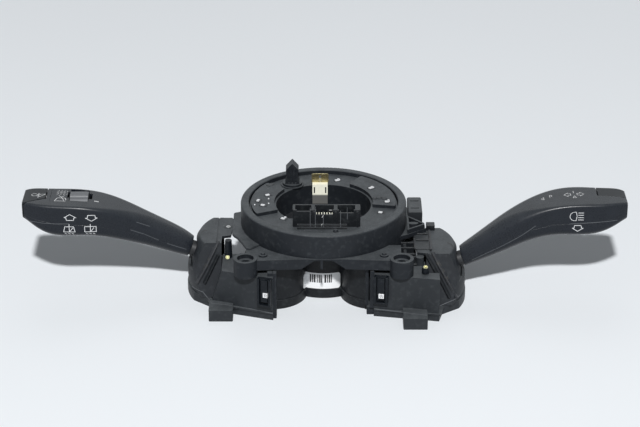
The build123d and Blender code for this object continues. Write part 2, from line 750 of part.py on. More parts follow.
def cover_form(unit, inset):
    """Return the ball cover's outer form, or its hollow when inset by the wall; the hollow is open below."""
    y = unit.pivot[1]
    with BuildPart() as form:
        with BuildSketch(Plane.YZ.offset(unit.side * (COVER_IN - inset))):
            Polygon(
                (y - 29.4 + 1.1 * inset, TRAY_H - inset), (y - 17.5 + 1.1 * inset, unit.roof - inset),
                (y + 23 - inset, unit.roof - inset), (y + 25.5 - inset, TRAY_H - inset), align=None,
            )
        extrude(amount=unit.side * 35)
        add(ball(unit, BALL_R - inset), mode=Mode.INTERSECT)
    return form.part


def unit_cover(unit):
    """Ball-shaped cover with its roof strip and the oblong opening for the neck."""
    y = unit.pivot[1]
    with BuildPart() as cover:
        add(cover_form(unit, 0))
        fillet(cover.edges().filter_by(GeomType.CIRCLE).group_by(Axis.Z)[-1], 2.0)
        add(cover_form(unit, BALL_WALL), mode=Mode.SUBTRACT)
        with BuildSketch(unit.neck_plane()):
            with Locations((OPENING_SHIFT, 0)):
                RectangleRounded(OPENING_W, OPENING_H, 8.4)
        extrude(amount=BALL_R + 5, mode=Mode.SUBTRACT)
        with BuildSketch(Plane.XY.offset(unit.roof - BALL_WALL)):
            Polygon(
                unit.at(COVER_IN + 2, unit.roof_front)[:2], unit.at(COVER_IN - 6, unit.roof_front + 1.9)[:2],
                unit.at(COVER_IN - 8.2, y + 18)[:2], unit.at(COVER_IN - 6, y + 22.8)[:2],
                unit.at(COVER_IN + 2, y + 22.8)[:2], align=None,
            )
        extrude(amount=BALL_WALL)
        with Locations(unit.at(COVER_IN + 3.0, y, unit.roof)):
            Box(1.0, BALL_R, 1.0, mode=Mode.SUBTRACT)
    return cover.part


def unit_shield(unit):
    """Ball shield that closes the cover's opening round the neck and moves with the lever."""
    outer = BALL_R - BALL_WALL - SHIELD_GAP
    with BuildPart() as shield:
        add(ball(unit, outer))
        add(ball(unit, outer - SHIELD_WALL), mode=Mode.SUBTRACT)
        with BuildSketch(unit.neck_plane()):
            with Locations((SHIELD_SHIFT[0], -unit.side * SHIELD_SHIFT[1])):
                RectangleRounded(SHIELD_W, SHIELD_H, 9.4)
            Circle(NECK_R, mode=Mode.SUBTRACT)
        extrude(amount=BALL_R + 5, mode=Mode.INTERSECT)
    return shield.part


def unit_yoke(unit):
    """Gimbal yoke: turns on its upright trunnions and carries the lever on a cross pin."""
    with BuildPart() as yoke:
        with Locations(unit.centre()):
            Box(YOKE_L, YOKE_W, YOKE_H)
            fillet(yoke.edges().filter_by(Axis.Z), 2.0)
            Cylinder(TRUNNION_R, YOKE_H + 2 * TRUNNION_L)
            Box(2 * YOKE_L, LEVER_W + 2 * FREE, LEVER_H + 2.2, mode=Mode.SUBTRACT)
            Cylinder(CROSS_PIN_R, 2 * YOKE_W, rotation=(90, 0, 0), mode=Mode.SUBTRACT)
    return yoke.part


def unit_cross_pin(unit):
    """Steel pin through the yoke and the lever."""
    with BuildPart() as pin:
        with Locations(unit.centre()):
            Cylinder(CROSS_PIN_R, YOKE_W, rotation=(90, 0, 0))
    return pin.part


def unit_lever(unit):
    """Lever: flat bar in the yoke with the plunger bore, and the round neck that rises into the stalk."""
    out, y, z = unit.pivot
    neck_out, neck_z = unit.neck
    bend = out + 13
    slope = (neck_z - z) / (neck_out - bend)
    tip_out = neck_out + 24
    with BuildPart() as lever:
        with Locations(unit.at(out + 2.0, y, z)):
            Box(21.0, LEVER_W, LEVER_H)
        with BuildLine(unit.side_plane(y)) as route:
            FilletPolyline((out + 8, z), (bend, z), (tip_out, z + slope * (tip_out - bend)), radius=7)
        with BuildSketch(Plane(route.wires()[0] @ 0, z_dir=route.wires()[0] % 0)):
            Circle(LEVER_H / 2)
        sweep()
        with BuildSketch(unit.neck_plane().offset(SHIELD_START)):
            Circle(NECK_R)
        extrude(amount=BALL_R + 2.0 - SHIELD_START)
        with Locations(unit.centre()):
            Cylinder(CROSS_PIN_R + PIN_FIT, 2 * YOKE_W, rotation=(90, 0, 0), mode=Mode.SUBTRACT)
        with Locations(Location(unit.at(out - 8.5, y, z), (0, 90, 0))):
            Cylinder(PLUNGER_R + SLIDE, 2 * 5.6, mode=Mode.SUBTRACT)
    return lever.part


def unit_plunger(unit):
    """Detent plunger with a round nose, in the lever's inner end."""
    out, y, z = unit.pivot
    nose = out - 11.0
    with BuildPart() as plunger:
        with BuildSketch(unit.side_plane(y)):
            with BuildLine():
                Line((nose, z), (out - 6.5, z))
                Line((out - 6.5, z), (out - 6.5, z + PLUNGER_R))
                Line((out - 6.5, z + PLUNGER_R), (nose + PLUNGER_R, z + PLUNGER_R))
                RadiusArc((nose + PLUNGER_R, z + PLUNGER_R), (nose, z), -PLUNGER_R)
            make_face()
        revolve(axis=Axis((0, y, z), (1, 0, 0)))
    return plunger.part


def unit_spring(unit):
    """Spring behind the detent plunger."""
    out, y, z = unit.pivot
    with BuildPart() as spring:
        with BuildSketch(Plane.YZ.offset(unit.side * (out - 5.8))):
            with Locations((y, z)):
                Circle(PLUNGER_R - 0.2)
                Circle(PLUNGER_R - 0.8, mode=Mode.SUBTRACT)
        extrude(amount=unit.side * 2.8)
    return spring.part


# ---------------------------------------------------------------- stalks


def stalk_form(unit, inset, stations):
    """Return the smooth form through a stalk's stations, inset by a wall."""
    with BuildPart() as form:
        for place in stations:
            plane = Plane(unit.at(place.out, place.y, place.z), x_dir=(0, 1, 0), z_dir=(1, 0, 0))
            with BuildSketch(plane) as section:
                Rectangle(place.width - 2 * inset, place.height - 2 * inset)
                fillet(section.vertices().group_by(Axis.Y)[-1].sort_by(Axis.X)[0], max(place.crease - inset, 1.2))
                low_front = section.vertices().group_by(Axis.Y)[0].sort_by(Axis.X)[:1]
                fillet(section.vertices().group_by(Axis.X)[-1] + low_front, max(place.corner - inset, 1.2))
        loft()
    return form.part


def stalk_shell(unit):
    """Return the hollow stalk with its nose cut back for the end button."""
    shoulder, tip = unit.cap_line
    inner = unit.cap_out - CAP_TRAVEL - FREE
    beside = FREE + CAP_TRAVEL * (shoulder - tip) / CAP_RUN
    with BuildPart() as shell:
        add(stalk_form(unit, 0, unit.stations))
        add(ball(unit, STALK_START), mode=Mode.SUBTRACT)
        add(stalk_form(unit, STALK_WALL, unit.stations[2:-1]), mode=Mode.SUBTRACT)
        with BuildSketch(Plane.XY.offset(unit.stations[-3].z - CAP_SILL - FREE)):
            Polygon(
                unit.at(inner, shoulder - beside)[:2], unit.at(unit.cap_out + CAP_RUN, tip - beside)[:2],
                unit.at(unit.cap_out + 2 * CAP_RUN, tip - beside)[:2], unit.at(unit.cap_out + 2 * CAP_RUN, 20)[:2],
                unit.at(inner, 20)[:2], align=None,
            )
        extrude(amount=40, mode=Mode.SUBTRACT)
    return shell.part


def parting_prism(unit, upper):
    """Return the space above or below the stalk's parting line."""
    far = 60.0 if upper else -60.0
    places = unit.stations
    with BuildPart() as prism:
        with BuildSketch(unit.side_plane(0)):
            with BuildLine():
                seam = Polyline([(place.out, place.z - PARTING) for place in places])
                Polyline(
                    seam @ 1, (places[-1].out + 20, places[-1].z - PARTING),
                    (places[-1].out + 20, places[-1].z + far), (places[0].out - 10, places[0].z + far),
                    (places[0].out - 10, places[0].z - PARTING), seam @ 0,
                )
            make_face()
        extrude(amount=80, both=True)
    return prism.part


def lever_socket(unit):
    """Return the space that the lever's end takes in the stalk's lower half."""
    out, y, z = unit.pivot
    neck_out, neck_z = unit.neck
    slope = (neck_z - z) / (neck_out - out - 13)
    with BuildPart() as socket:
        with BuildLine(unit.side_plane(y)) as route:
            Line((neck_out - 6, neck_z - 6 * slope), (neck_out + 24.2, neck_z + 24.2 * slope))
        with BuildSketch(Plane(route.wires()[0] @ 0, z_dir=route.wires()[0] % 0)):
            Circle(LEVER_H / 2 + 0.05)
        sweep()
        with BuildSketch(unit.neck_plane().offset(SHIELD_START)):
            Circle(NECK_R + 0.05)
        extrude(amount=BALL_R + 2.05 - SHIELD_START)
    return socket.part


def stalk_upper(unit, shell):
    """Upper half of the stalk, with its openings."""
    with BuildPart() as upper:
        add(shell)
        add(parting_prism(unit, True), mode=Mode.INTERSECT)
        add(lever_socket(unit), mode=Mode.SUBTRACT)
        if unit is WIPER:
            with BuildSketch(Plane.XY.offset(WHEEL_AT[2])):
                with Locations(unit.at(WHEEL_AT[0], WHEEL_AT[1])[:2]):
                    Rectangle(WHEEL_W + 2 * FREE, 2 * WHEEL_R + 2 * FREE)
                    Rectangle(WHEEL_W + 2 * POCKET_W, WHEEL_R)
                with Locations(unit.at(*BUTTON_AT)[:2]):
                    RectangleRounded(BUTTON_L + 2 * SLIDE, BUTTON_W + 2 * SLIDE, 1.5 + SLIDE)
            extrude(amount=30, mode=Mode.SUBTRACT)
    return upper.part


def stalk_lower(unit, shell):
    """Lower half of the stalk, with the wheel's bearing walls where it has one."""
    with BuildPart() as lower:
        add(shell)
        add(parting_prism(unit, False), mode=Mode.INTERSECT)
        add(lever_socket(unit), mode=Mode.SUBTRACT)
        if unit is WIPER:
            out, y, z = WHEEL_AT
            head = unit.stations[-4]
            floor = head.z - head.height / 2 + STALK_WALL / 2
            for middle in (out - WHEEL_W / 2 - 1.4, out + WHEEL_W / 2 + 1.4):
                with Locations(unit.at(middle, y, floor)):
                    Box(2.0, 7.0, z + 2.4 - floor, align=(Align.CENTER, Align.CENTER, Align.MIN))
            with Locations(unit.at(out, y, z)):
                Cylinder(AXLE_R + PIN_FIT, 2 * WHEEL_W, rotation=(0, 90, 0), mode=Mode.SUBTRACT)
    return lower.part


def end_button(unit):
    """Push button in the stalk's nose, with its skirt inside the shell and the stem that works its switch."""
    shoulder, tip = unit.cap_line
    out, low = unit.cap_out, unit.stations[-3].z - CAP_SILL
    with BuildPart() as skirt:
        add(stalk_form(unit, STALK_WALL + FREE, unit.stations[2:-1]))
        with Locations(unit.at(out + 0.4, unit.stations[-3].y, low)):
            Box(5.2, 60, 60, align=(Align.CENTER, Align.CENTER, Align.MIN), mode=Mode.INTERSECT)
    with BuildPart() as button:
        add(stalk_form(unit, 0, unit.stations))
        with BuildSketch(Plane.XY.offset(low)):
            Polygon(
                unit.at(out, shoulder)[:2], unit.at(out + CAP_RUN, tip)[:2], unit.at(out + 2 * CAP_RUN, tip)[:2],
                unit.at(out + 2 * CAP_RUN, 20)[:2], unit.at(out, 20)[:2], align=None,
            )
        extrude(amount=40, mode=Mode.INTERSECT)
        add(skirt.part)
        with Locations(Location(unit.at(out + 1, shoulder + 9, low + 5), (0, 90, 0))):
            Cylinder(1.8, 14)
    return button.part


def thumbwheel():
    """Fluted thumbwheel of the wiper stalk."""
    with BuildPart() as wheel:
        with BuildSketch(Plane.YZ.offset(WIPER.side * (WHEEL_AT[0] + WHEEL_W / 2))):
            with Locations(WHEEL_AT[1:]):
                Circle(WHEEL_R)
                Circle(AXLE_R + PIN_FIT, mode=Mode.SUBTRACT)
                with PolarLocations(WHEEL_R + 1.2, WHEEL_FLUTES):
                    Circle(1.9, mode=Mode.SUBTRACT)
        extrude(amount=WHEEL_W)
    return wheel.part


def wheel_axle():
    """Axle of the thumbwheel, held in the lower half's bearing walls."""
    with BuildPart() as axle:
        with Locations(WIPER.at(*WHEEL_AT)):
            Cylinder(AXLE_R, WHEEL_W + 4.6, rotation=(0, 90, 0))
    return axle.part


def sensor_button():
    """Rain sensor button in the stalk's upper face, flush with it, with its stem."""
    head = WIPER.stations[-3]
    low = head.z + head.height / 2 - BUTTON_DEPTH
    with BuildPart() as button:
        add(stalk_form(WIPER, 0, WIPER.stations))
        with BuildSketch(Plane.XY.offset(low)):
            with Locations(WIPER.at(*BUTTON_AT)[:2]):
                RectangleRounded(BUTTON_L, BUTTON_W, 1.5)
        extrude(amount=30, mode=Mode.INTERSECT)
        with Locations(WIPER.at(*BUTTON_AT, low)):
            Cylinder(2.0, 5.0, align=(Align.CENTER, Align.CENTER, Align.MAX))
    return button.part


# ---------------------------------------------------------------- write the pieces


def main():
    """Build every piece and write it."""
    os.makedirs("parts", exist_ok=True)
    centre = (
        column_collar, sensor_housing, sensor_lid, sensor_board, code_ring, carrier, stator_housing, ribbon_coil,
        rotor, driver_peg, socket_block, contact_clip, contact_tongue, vehicle_connector, thumbwheel, wheel_axle,
        sensor_button,
    )
    for make in centre:
        save(make(), make.__name__)
    paired = {
        "base": unit_base, "housing": unit_housing, "board": unit_board, "latch": unit_latch, "cover": unit_cover,
        "shield": unit_shield, "yoke": unit_yoke, "cross_pin": unit_cross_pin, "lever": unit_lever,
        "plunger": unit_plunger, "spring": unit_spring, "end_button": end_button,
    }
    for unit in UNITS:
        for piece, make in paired.items():
            save(make(unit), f"{unit.name}_{piece}")
        shell = stalk_shell(unit)
        save(stalk_upper(unit, shell), f"{unit.name}_stalk_upper")
        save(stalk_lower(unit, shell), f"{unit.name}_stalk_lower")


main()
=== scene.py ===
import json
import logging
import math
from dataclasses import dataclass
from enum import Enum

import bmesh
import bpy
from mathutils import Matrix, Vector
from mathutils.bvhtree import BVHTree


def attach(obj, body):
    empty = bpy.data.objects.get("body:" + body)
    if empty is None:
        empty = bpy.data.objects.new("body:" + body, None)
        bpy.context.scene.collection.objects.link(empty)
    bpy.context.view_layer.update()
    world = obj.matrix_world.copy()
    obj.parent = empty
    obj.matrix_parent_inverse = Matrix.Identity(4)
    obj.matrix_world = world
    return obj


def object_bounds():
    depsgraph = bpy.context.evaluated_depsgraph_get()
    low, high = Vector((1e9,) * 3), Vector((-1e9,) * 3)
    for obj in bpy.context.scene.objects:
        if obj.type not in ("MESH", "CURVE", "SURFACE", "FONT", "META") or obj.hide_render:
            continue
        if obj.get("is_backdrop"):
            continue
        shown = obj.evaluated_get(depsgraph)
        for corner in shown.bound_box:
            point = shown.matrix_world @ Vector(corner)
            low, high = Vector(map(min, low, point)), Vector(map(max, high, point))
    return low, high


LOG = logging.getLogger("stalk_switch")
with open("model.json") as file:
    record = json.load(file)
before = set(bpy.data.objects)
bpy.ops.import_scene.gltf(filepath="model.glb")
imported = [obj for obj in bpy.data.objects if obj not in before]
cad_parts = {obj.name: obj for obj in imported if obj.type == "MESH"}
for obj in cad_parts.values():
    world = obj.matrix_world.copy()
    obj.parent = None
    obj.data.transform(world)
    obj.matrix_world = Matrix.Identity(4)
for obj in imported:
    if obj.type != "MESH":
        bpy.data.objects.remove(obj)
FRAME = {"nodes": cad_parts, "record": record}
MM = 0.001
SLOPE = 25.2  # degrees at which the camera and the slanted boards look down

Place = tuple[float, float, float]
Colour = Place
Point = tuple[float, float]
Lines = tuple[tuple[Point, ...], ...]
Mesh = bpy.types.Mesh
Socket = bpy.types.NodeSocket


# ---------------------------------------------------------------- node trees


def node(tree: bpy.types.NodeTree, kind: str, feeds: dict | None = None, **values: object) -> bpy.types.Node:
    """Add a node to a tree.

    Args:
        tree: The tree.
        kind: The node's type.
        feeds: What its inputs get, by name or number: a value, a socket, or a node, whose first output is meant.
        values: Its properties.

    Returns:
        The node.
    """
    made = tree.nodes.new(kind)
    for key, value in values.items():
        setattr(made, key, value)
    for key, value in (feeds or {}).items():
        if isinstance(value, bpy.types.Node):
            value = value.outputs[0]
        if isinstance(value, Socket):
            tree.links.new(value, made.inputs[key])
        else:
            made.inputs[key].default_value = value
    return made


# ---------------------------------------------------------------- finishes


class Graph:
    """A material's node tree with short calls for the nodes that the finishes share."""

    def __init__(self, name: str) -> None:
        """Make an empty material.

        Args:
            name: The material's name.
        """
        self.material = bpy.data.materials.new(name)
        self.material.use_nodes = True
        self.tree = self.material.node_tree
        self.tree.nodes.clear()
        self.shader = self.add("ShaderNodeBsdfPrincipled")
        self.add("ShaderNodeOutputMaterial", {"Surface": self.shader})
        self.place = self.add("ShaderNodeTexCoord").outputs["Object"]

    def add(self, kind: str, feeds: dict | None = None, **values: object) -> bpy.types.Node:
        """Add a node, its inputs fed and its properties set."""
        return node(self.tree, kind, feeds, **values)

    def noise(self, size_mm: float, detail: float = 2.0, stretch: Point = (1.0, 1.0)) -> Socket:
        """Add noise with features of about a size.

        Args:
            size_mm: Size of the features in millimetres.
            detail: Number of finer octaves.
            stretch: Factors on the X and Z scales, for a pattern with a direction.

        Returns:
            The noise value's socket, 0 to 1.
        """
        grid = self.add("ShaderNodeMapping", {"Vector": self.place, "Scale": (stretch[0], 1.0, stretch[1])})
        feeds = {"Vector": grid, "Scale": 1.0 / (size_mm * MM), "Detail": detail}
        return self.add("ShaderNodeTexNoise", feeds).outputs["Fac"]

    def ramp(self, value: Socket, low: float, high: float, out: Point = (0.0, 1.0)) -> Socket:
        """Map a value's range, low to high, onto another, held at both ends."""
        feeds = {"Value": value, "From Min": low, "From Max": high, "To Min": out[0], "To Max": out[1]}
        return self.add("ShaderNodeMapRange", feeds).outputs["Result"]

    def times(self, first: Socket, second: Socket) -> Socket:
        """Multiply two values."""
        return self.add("ShaderNodeMath", {0: first, 1: second}, operation="MULTIPLY").outputs[0]

    def plus(self, first: Socket, second: Socket) -> Socket:
        """Add two values."""
        return self.add("ShaderNodeMath", {0: first, 1: second}, operation="ADD").outputs[0]

    def blend(self, share: Socket, first: object, second: object) -> Socket:
        """Mix two colours, each a colour or a socket, by the second one's share."""
        first, second = ((*colour, 1.0) if isinstance(colour, tuple) else colour for colour in (first, second))
        return self.add("ShaderNodeMix", {0: share, 6: first, 7: second}, data_type="RGBA").outputs[2]

    def edges(self, radius_mm: float) -> tuple[Socket, Socket]:
        """Round the edges in shading.

        Args:
            radius_mm: Radius of the rounding.

        Returns:
            The rounded normal, and a mask that is 1 along edges.
        """
        bevel = self.add("ShaderNodeBevel", {"Radius": radius_mm * MM}, samples=4).outputs["Normal"]
        flat = self.add("ShaderNodeNewGeometry").outputs["Normal"]
        dot = self.add("ShaderNodeVectorMath", {0: bevel, 1: flat}, operation="DOT_PRODUCT")
        return bevel, self.ramp(dot.outputs["Value"], 0.995, 0.9)

    def upward(self, vector: Socket) -> Socket:
        """Return a vector's part along Z."""
        return self.add("ShaderNodeSeparateXYZ", {0: vector}).outputs["Z"]

    def facing_up(self) -> Socket:
        """Return a mask that is 1 on surfaces that face up, where dust specks settle and where a painted sheen
        lightens the tops.
        """
        return self.ramp(self.upward(self.add("ShaderNodeNewGeometry").outputs["Normal"]), 0.4, 0.9)

    def height(self, low_mm: float, high_mm: float) -> Socket:
        """Return a value that goes from 0 to 1 between two heights."""
        return self.ramp(self.upward(self.place), low_mm * MM, high_mm * MM)

    def bump(self, height: Socket, depth_mm: float, normal: Socket | None = None) -> Socket:
        """Return the normal of a bump of a real depth, on top of another normal where one is given."""
        under = {} if normal is None else {"Normal": normal}
        return self.add("ShaderNodeBump", {"Height": height, "Distance": depth_mm * MM, **under}).outputs["Normal"]

    def done(self, colour: Socket, roughness: Socket, normal: Socket) -> bpy.types.Material:
        """Link what the shader shows and return the material.

        Args:
            colour: The base colour.
            roughness: The roughness.
            normal: The normal.

        Returns:
            The material.
        """
        for name, value in (("Base Color", colour), ("Roughness", roughness), ("Normal", normal)):
            self.tree.links.new(value, self.shader.inputs[name])
        return self.material


FINE_BUMP_MM = 0.004  # depth of drawing lines in metal and of the tooth of prints
BLOTCH_MM, WEAR_MM, DUST_MM, SPECK_MM, SMEAR_MM = 9.0, 2.4, 3.2, 0.9, 1.4  # sizes of the marks on plastic


def scaled(colour: Colour, share: float) -> Colour:
    """Return a colour made lighter or darker."""
    return tuple(share * part for part in colour)


@dataclass(frozen=True)
class MouldedPlastic:
    """Moulded plastic: spark-eroded grain, rubbed edges, dust in places, and a painted sheen that lightens faces that
    face up.
    """

    name: str
    colour: Colour
    roughness: float = 0.45
    grain_mm: float = 0.35
    grain_depth_mm: float = 0.012
    edge_mm: float = 0.35
    edge_colour: Colour = (0.10, 0.105, 0.115)
    edge_share: float = 0.35
    dust: float = 0.10
    # colour of the dust, and also of the painted sheen laid on faces that face up
    dust_and_sheen_colour: Colour = (0.17, 0.185, 0.195)
    specular: float = 0.5
    specks: float = 0.0
    # share of the painted sheen: a lighter tone on faces that face up, standing in for the light that tops catch
    film: float = 0.0

    def build(self) -> bpy.types.Material:
        """Build the material.

        Returns:
            The material.
        """
        g = Graph(self.name)
        normal, edge = g.edges(self.edge_mm)
        blotch = g.noise(BLOTCH_MM, 3.0)
        fine = g.noise(self.grain_mm, 3.0)
        edge_marks = g.times(edge, g.ramp(g.noise(WEAR_MM, 4.0), 0.38, 0.62, (0.15, self.edge_share)))
        dusty = g.ramp(g.noise(DUST_MM, 6.0), 0.52, 0.80, (0.0, self.dust))
        tint = g.blend(g.ramp(blotch, 0.3, 0.7), self.colour, scaled(self.colour, 1.18))
        specks = g.ramp(g.noise(SPECK_MM, 5.0), 0.60, 0.72, (0.0, self.specks))
        # painted sheen: a lighter tone in blotches on faces that face up, as painted top lighting, added to the dust
        # and the specks
        film = g.ramp(blotch, 0.3, 0.7, (0.7 * self.film, 1.3 * self.film))
        dust_and_sheen = g.plus(dusty, g.times(g.facing_up(), g.plus(specks, film)))
        colour = g.blend(dust_and_sheen, g.blend(edge_marks, tint, self.edge_colour), self.dust_and_sheen_colour)
        smears = g.plus(g.times(blotch, fine), g.noise(SMEAR_MM, 3.0))
        rough = g.ramp(smears, 0.4, 1.0, (self.roughness - 0.05, self.roughness + 0.09))
        g.shader.inputs["Specular IOR Level"].default_value = self.specular
        return g.done(colour, rough, g.bump(fine, self.grain_depth_mm, normal))


@dataclass(frozen=True)
class SheetMetal:
    """Stamped or turned metal with fine drawing lines and a little tarnish."""

    name: str
    colour: Colour
    tarnish: Colour
    roughness: float = 0.28
    edge_mm: float = 0.12

    def build(self) -> bpy.types.Material:
        """Build the material.

        Returns:
            The material.
        """
        g = Graph(self.name)
        normal, edge = g.edges(self.edge_mm)
        lines = g.noise(0.5, 2.0, (1.0, 0.12))
        dull = g.ramp(g.noise(1.8, 4.0), 0.42, 0.75, (0.0, 0.7))
        colour = g.blend(g.times(edge, dull), g.blend(dull, self.colour, self.tarnish), self.colour)
        rough = g.ramp(g.plus(lines, dull), 0.3, 1.5, (self.roughness, self.roughness + 0.25))
        g.shader.inputs["Metallic"].default_value = 1.0
        return g.done(colour, rough, g.bump(lines, FINE_BUMP_MM, normal))


@dataclass(frozen=True)
class TinnedSpring:
    """Tin-plated spring strip: dull at its foot and pale above a set height, a painted highlight that stands in for
    the lamp's reflection.
    """

    name: str
    # painted highlight: the pale colour that stands in for the lamp's reflection on the strip
    bright: Colour = (0.93, 0.92, 0.78)
    dull: Colour = (0.13, 0.13, 0.125)
    # heights in millimetres over which the dull foot turns into the painted highlight
    glint_heights_mm: Point = (49.4, 50.4)
    edge_mm: float = 0.12

    def build(self) -> bpy.types.Material:
        """Build the material.

        Returns:
            The material.
        """
        g = Graph(self.name)
        normal, _ = g.edges(self.edge_mm)
        stain = g.ramp(g.noise(1.6, 4.0), 0.4, 0.8, (0.0, 0.25))
        bright = g.blend(stain, self.bright, scaled(self.bright, 0.6))
        # painted highlight above the given heights, dull tin below them
        colour = g.blend(g.height(*self.glint_heights_mm), self.dull, bright)
        rough = g.ramp(g.noise(0.7), 0.3, 0.7, (0.34, 0.46))
        return g.done(colour, rough, g.bump(g.noise(0.5, 2.0, (1.0, 0.15)), FINE_BUMP_MM, normal))


@dataclass(frozen=True)
class PrintedFilm:
    """Thin printed or laid-on layer: pad-printed symbols, labels, flat cable."""

    name: str
    colour: Colour
    roughness: float = 0.5
    fade: float = 0.12

    def build(self) -> bpy.types.Material:
        """Build the material.

        Returns:
            The material.
        """
        g = Graph(self.name)
        faded = g.ramp(g.noise(0.9, 5.0), 0.35, 0.75, (0.0, self.fade))
        colour = g.blend(faded, self.colour, scaled(self.colour, 0.55))
        rough = g.ramp(g.noise(0.6), 0.3, 0.7, (self.roughness - 0.06, self.roughness + 0.06))
        return g.done(colour, rough, g.bump(g.noise(0.4, 2.0), FINE_BUMP_MM))


@dataclass(frozen=True)
class BoardLaminate:
    """Circuit board with solder resist over tracks."""

    name: str
    colour: Colour
    track: Colour

    def build(self) -> bpy.types.Material:
        """Build the material.

        Returns:
            The material.
        """
        g = Graph(self.name)
        tracks = g.ramp(g.noise(2.2, 0.0, (0.2, 1.0)), 0.5, 0.53)
        rough = g.ramp(g.noise(0.7, 3.0), 0.3, 0.7, (0.3, 0.42))
        return g.done(g.blend(tracks, self.colour, self.track), rough, g.bump(tracks, 0.035))


class Finish(Enum):
    """The finishes of this switch, one for each record slot, and the small ones of what is laid on it."""

    # Each sheen share below sets a plastic's painted sheen, a lighter tone on faces that face up that stands in for
    # top lighting.
    CHARCOAL = MouldedPlastic(
        "charcoal_plastic", (0.0095, 0.0115, 0.0145), roughness=0.50, edge_colour=(0.06, 0.065, 0.072), specks=0.35,
        specular=0.2, film=0.27,
    )
    BLACK = MouldedPlastic(
        "black_plastic", (0.0065, 0.0078, 0.0095), roughness=0.40, edge_colour=(0.05, 0.053, 0.058), edge_share=0.3,
        specks=0.2, specular=0.22, film=0.14,
    )
    STALK = MouldedPlastic(
        "stalk_plastic", (0.0082, 0.0105, 0.0148), roughness=0.26, grain_mm=0.22, grain_depth_mm=0.006, edge_mm=0.5,
        edge_colour=(0.06, 0.066, 0.075), edge_share=0.2, dust=0.02, specular=0.25, film=0.08,
    )
    WHEEL = MouldedPlastic(
        "wheel_plastic", (0.095, 0.10, 0.108), roughness=0.42, edge_mm=0.3, edge_colour=(0.22, 0.22, 0.23), dust=0.05,
    )
    INNER = MouldedPlastic("inner_plastic", (0.011, 0.012, 0.014), roughness=0.5, edge_colour=(0.06, 0.062, 0.066))
    WHITE = MouldedPlastic(
        "white_plastic", (0.66, 0.67, 0.69), roughness=0.42, edge_mm=0.15, edge_colour=(0.75, 0.75, 0.76), dust=0.12,
    )
    BOARD = BoardLaminate("circuit_board", (0.012, 0.075, 0.032), (0.02, 0.13, 0.05))
    BRASS = SheetMetal("brass", (0.42, 0.36, 0.19), (0.15, 0.12, 0.07), 0.34)
    SCREW = SheetMetal("screw_brass", (0.74, 0.71, 0.42), (0.28, 0.25, 0.12))
    TIN = TinnedSpring("tinned_spring")
    STEEL = SheetMetal("steel", (0.66, 0.66, 0.66), (0.40, 0.39, 0.38))
    RIBBON = PrintedFilm("ribbon", (0.42, 0.24, 0.06), 0.35, 0.3)
    PRINT = PrintedFilm("symbol_print", (0.62, 0.63, 0.64), 0.55, 0.3)
    PAPER = PrintedFilm("label_paper", (0.80, 0.81, 0.82), 0.6, 0.06)
    INK = PrintedFilm("label_ink", (0.012, 0.012, 0.014), 0.55, 0.1)
    CELLS = PrintedFilm("code_cells", (0.18, 0.18, 0.19), 0.55, 0.1)
    PALE = MouldedPlastic(
        "pale_plastic", (0.0165, 0.0190, 0.0220), roughness=0.48, edge_colour=(0.07, 0.075, 0.082), specks=0.35,
        specular=0.24, film=0.25,
    )
    CAP = MouldedPlastic(
        "cap_plastic", (0.0050, 0.0065, 0.0085), roughness=0.34, grain_mm=0.22, grain_depth_mm=0.006, edge_mm=0.5,
        edge_colour=(0.045, 0.05, 0.056), edge_share=0.2, dust=0.02, specular=0.22,
    )
    LATCH = MouldedPlastic(
        "latch_plastic", (0.0045, 0.0062, 0.0088), roughness=0.38, edge_mm=0.3, edge_colour=(0.05, 0.055, 0.06),
        specular=0.2,
    )
    # painted highlight: a lighter plastic laid in thin lines along edges and seams, standing in for light caught by
    # them
    EDGE_HIGHLIGHT = MouldedPlastic("painted_edge_highlight", (0.085, 0.092, 0.10), roughness=0.45, edge_mm=0.1, specular=0.4)
    DUSTY = MouldedPlastic(
        "dusty_plastic", (0.014, 0.0155, 0.019), roughness=0.5, edge_colour=(0.09, 0.095, 0.10), dust=0.5,
        dust_and_sheen_colour=(0.10, 0.095, 0.08), specks=0.6,
    )


class Paints:
    """Builds each finish once and lays it on objects."""

    def __init__(self) -> None:
        """Start with nothing built."""
        self.built: dict[Finish, bpy.types.Material] = {}

    def get(self, finish: Finish) -> bpy.types.Material:
        """Return a finish's material.

        Args:
            finish: The finish.

        Returns:
            Its material.
        """
        if finish not in self.built:
            self.built[finish] = finish.value.build()
        return self.built[finish]

    def dress(self, piece: bpy.types.Object, finish: Finish) -> None:
        """Lay a finish on every slot of an object.

        Args:
            piece: The object.
            finish: The finish.
        """
        if not piece.material_slots:
            piece.data.materials.append(None)
        for slot in piece.material_slots:
            slot.material = self.get(finish)
PAINTS = Paints()


# ---------------------------------------------------------------- mesh helpers


def add_piece(name: str, mesh: Mesh, body: str, finish: Finish) -> None:
    """Put a finished mesh into the scene.

    Args:
        name: The piece's name.
        mesh: The mesh, its place in its vertices.
        body: The body that it rides on.
        finish: Its finish.
    """
    piece = bpy.data.objects.new(name, mesh)
    bpy.context.scene.collection.objects.link(piece)
    PAINTS.dress(piece, finish)
    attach(piece, body)
    LOG.info("piece %s on %s", name, body)


def made_of(form: bmesh.types.BMesh, name: str) -> Mesh:
    """Turn a form under construction into a mesh.

    Args:
        form: The form.
        name: The mesh's name.

    Returns:
        The mesh.
    """
    mesh = bpy.data.meshes.new(name)
    form.to_mesh(mesh)
    form.free()
    return mesh


def bevelled(form: bmesh.types.BMesh, name: str, width_mm: float) -> Mesh:
    """Face a closed form outwards, bevel its edges and return its mesh.

    Args:
        form: The form.
        name: The mesh's name.
        width_mm: Width of the bevels.

    Returns:
        The mesh.
    """
    bmesh.ops.recalc_face_normals(form, faces=form.faces)
    bmesh.ops.bevel(form, geom=form.edges, offset=width_mm * MM, segments=2, affect="EDGES")
    bmesh.ops.recalc_face_normals(form, faces=form.faces)
    return made_of(form, name)


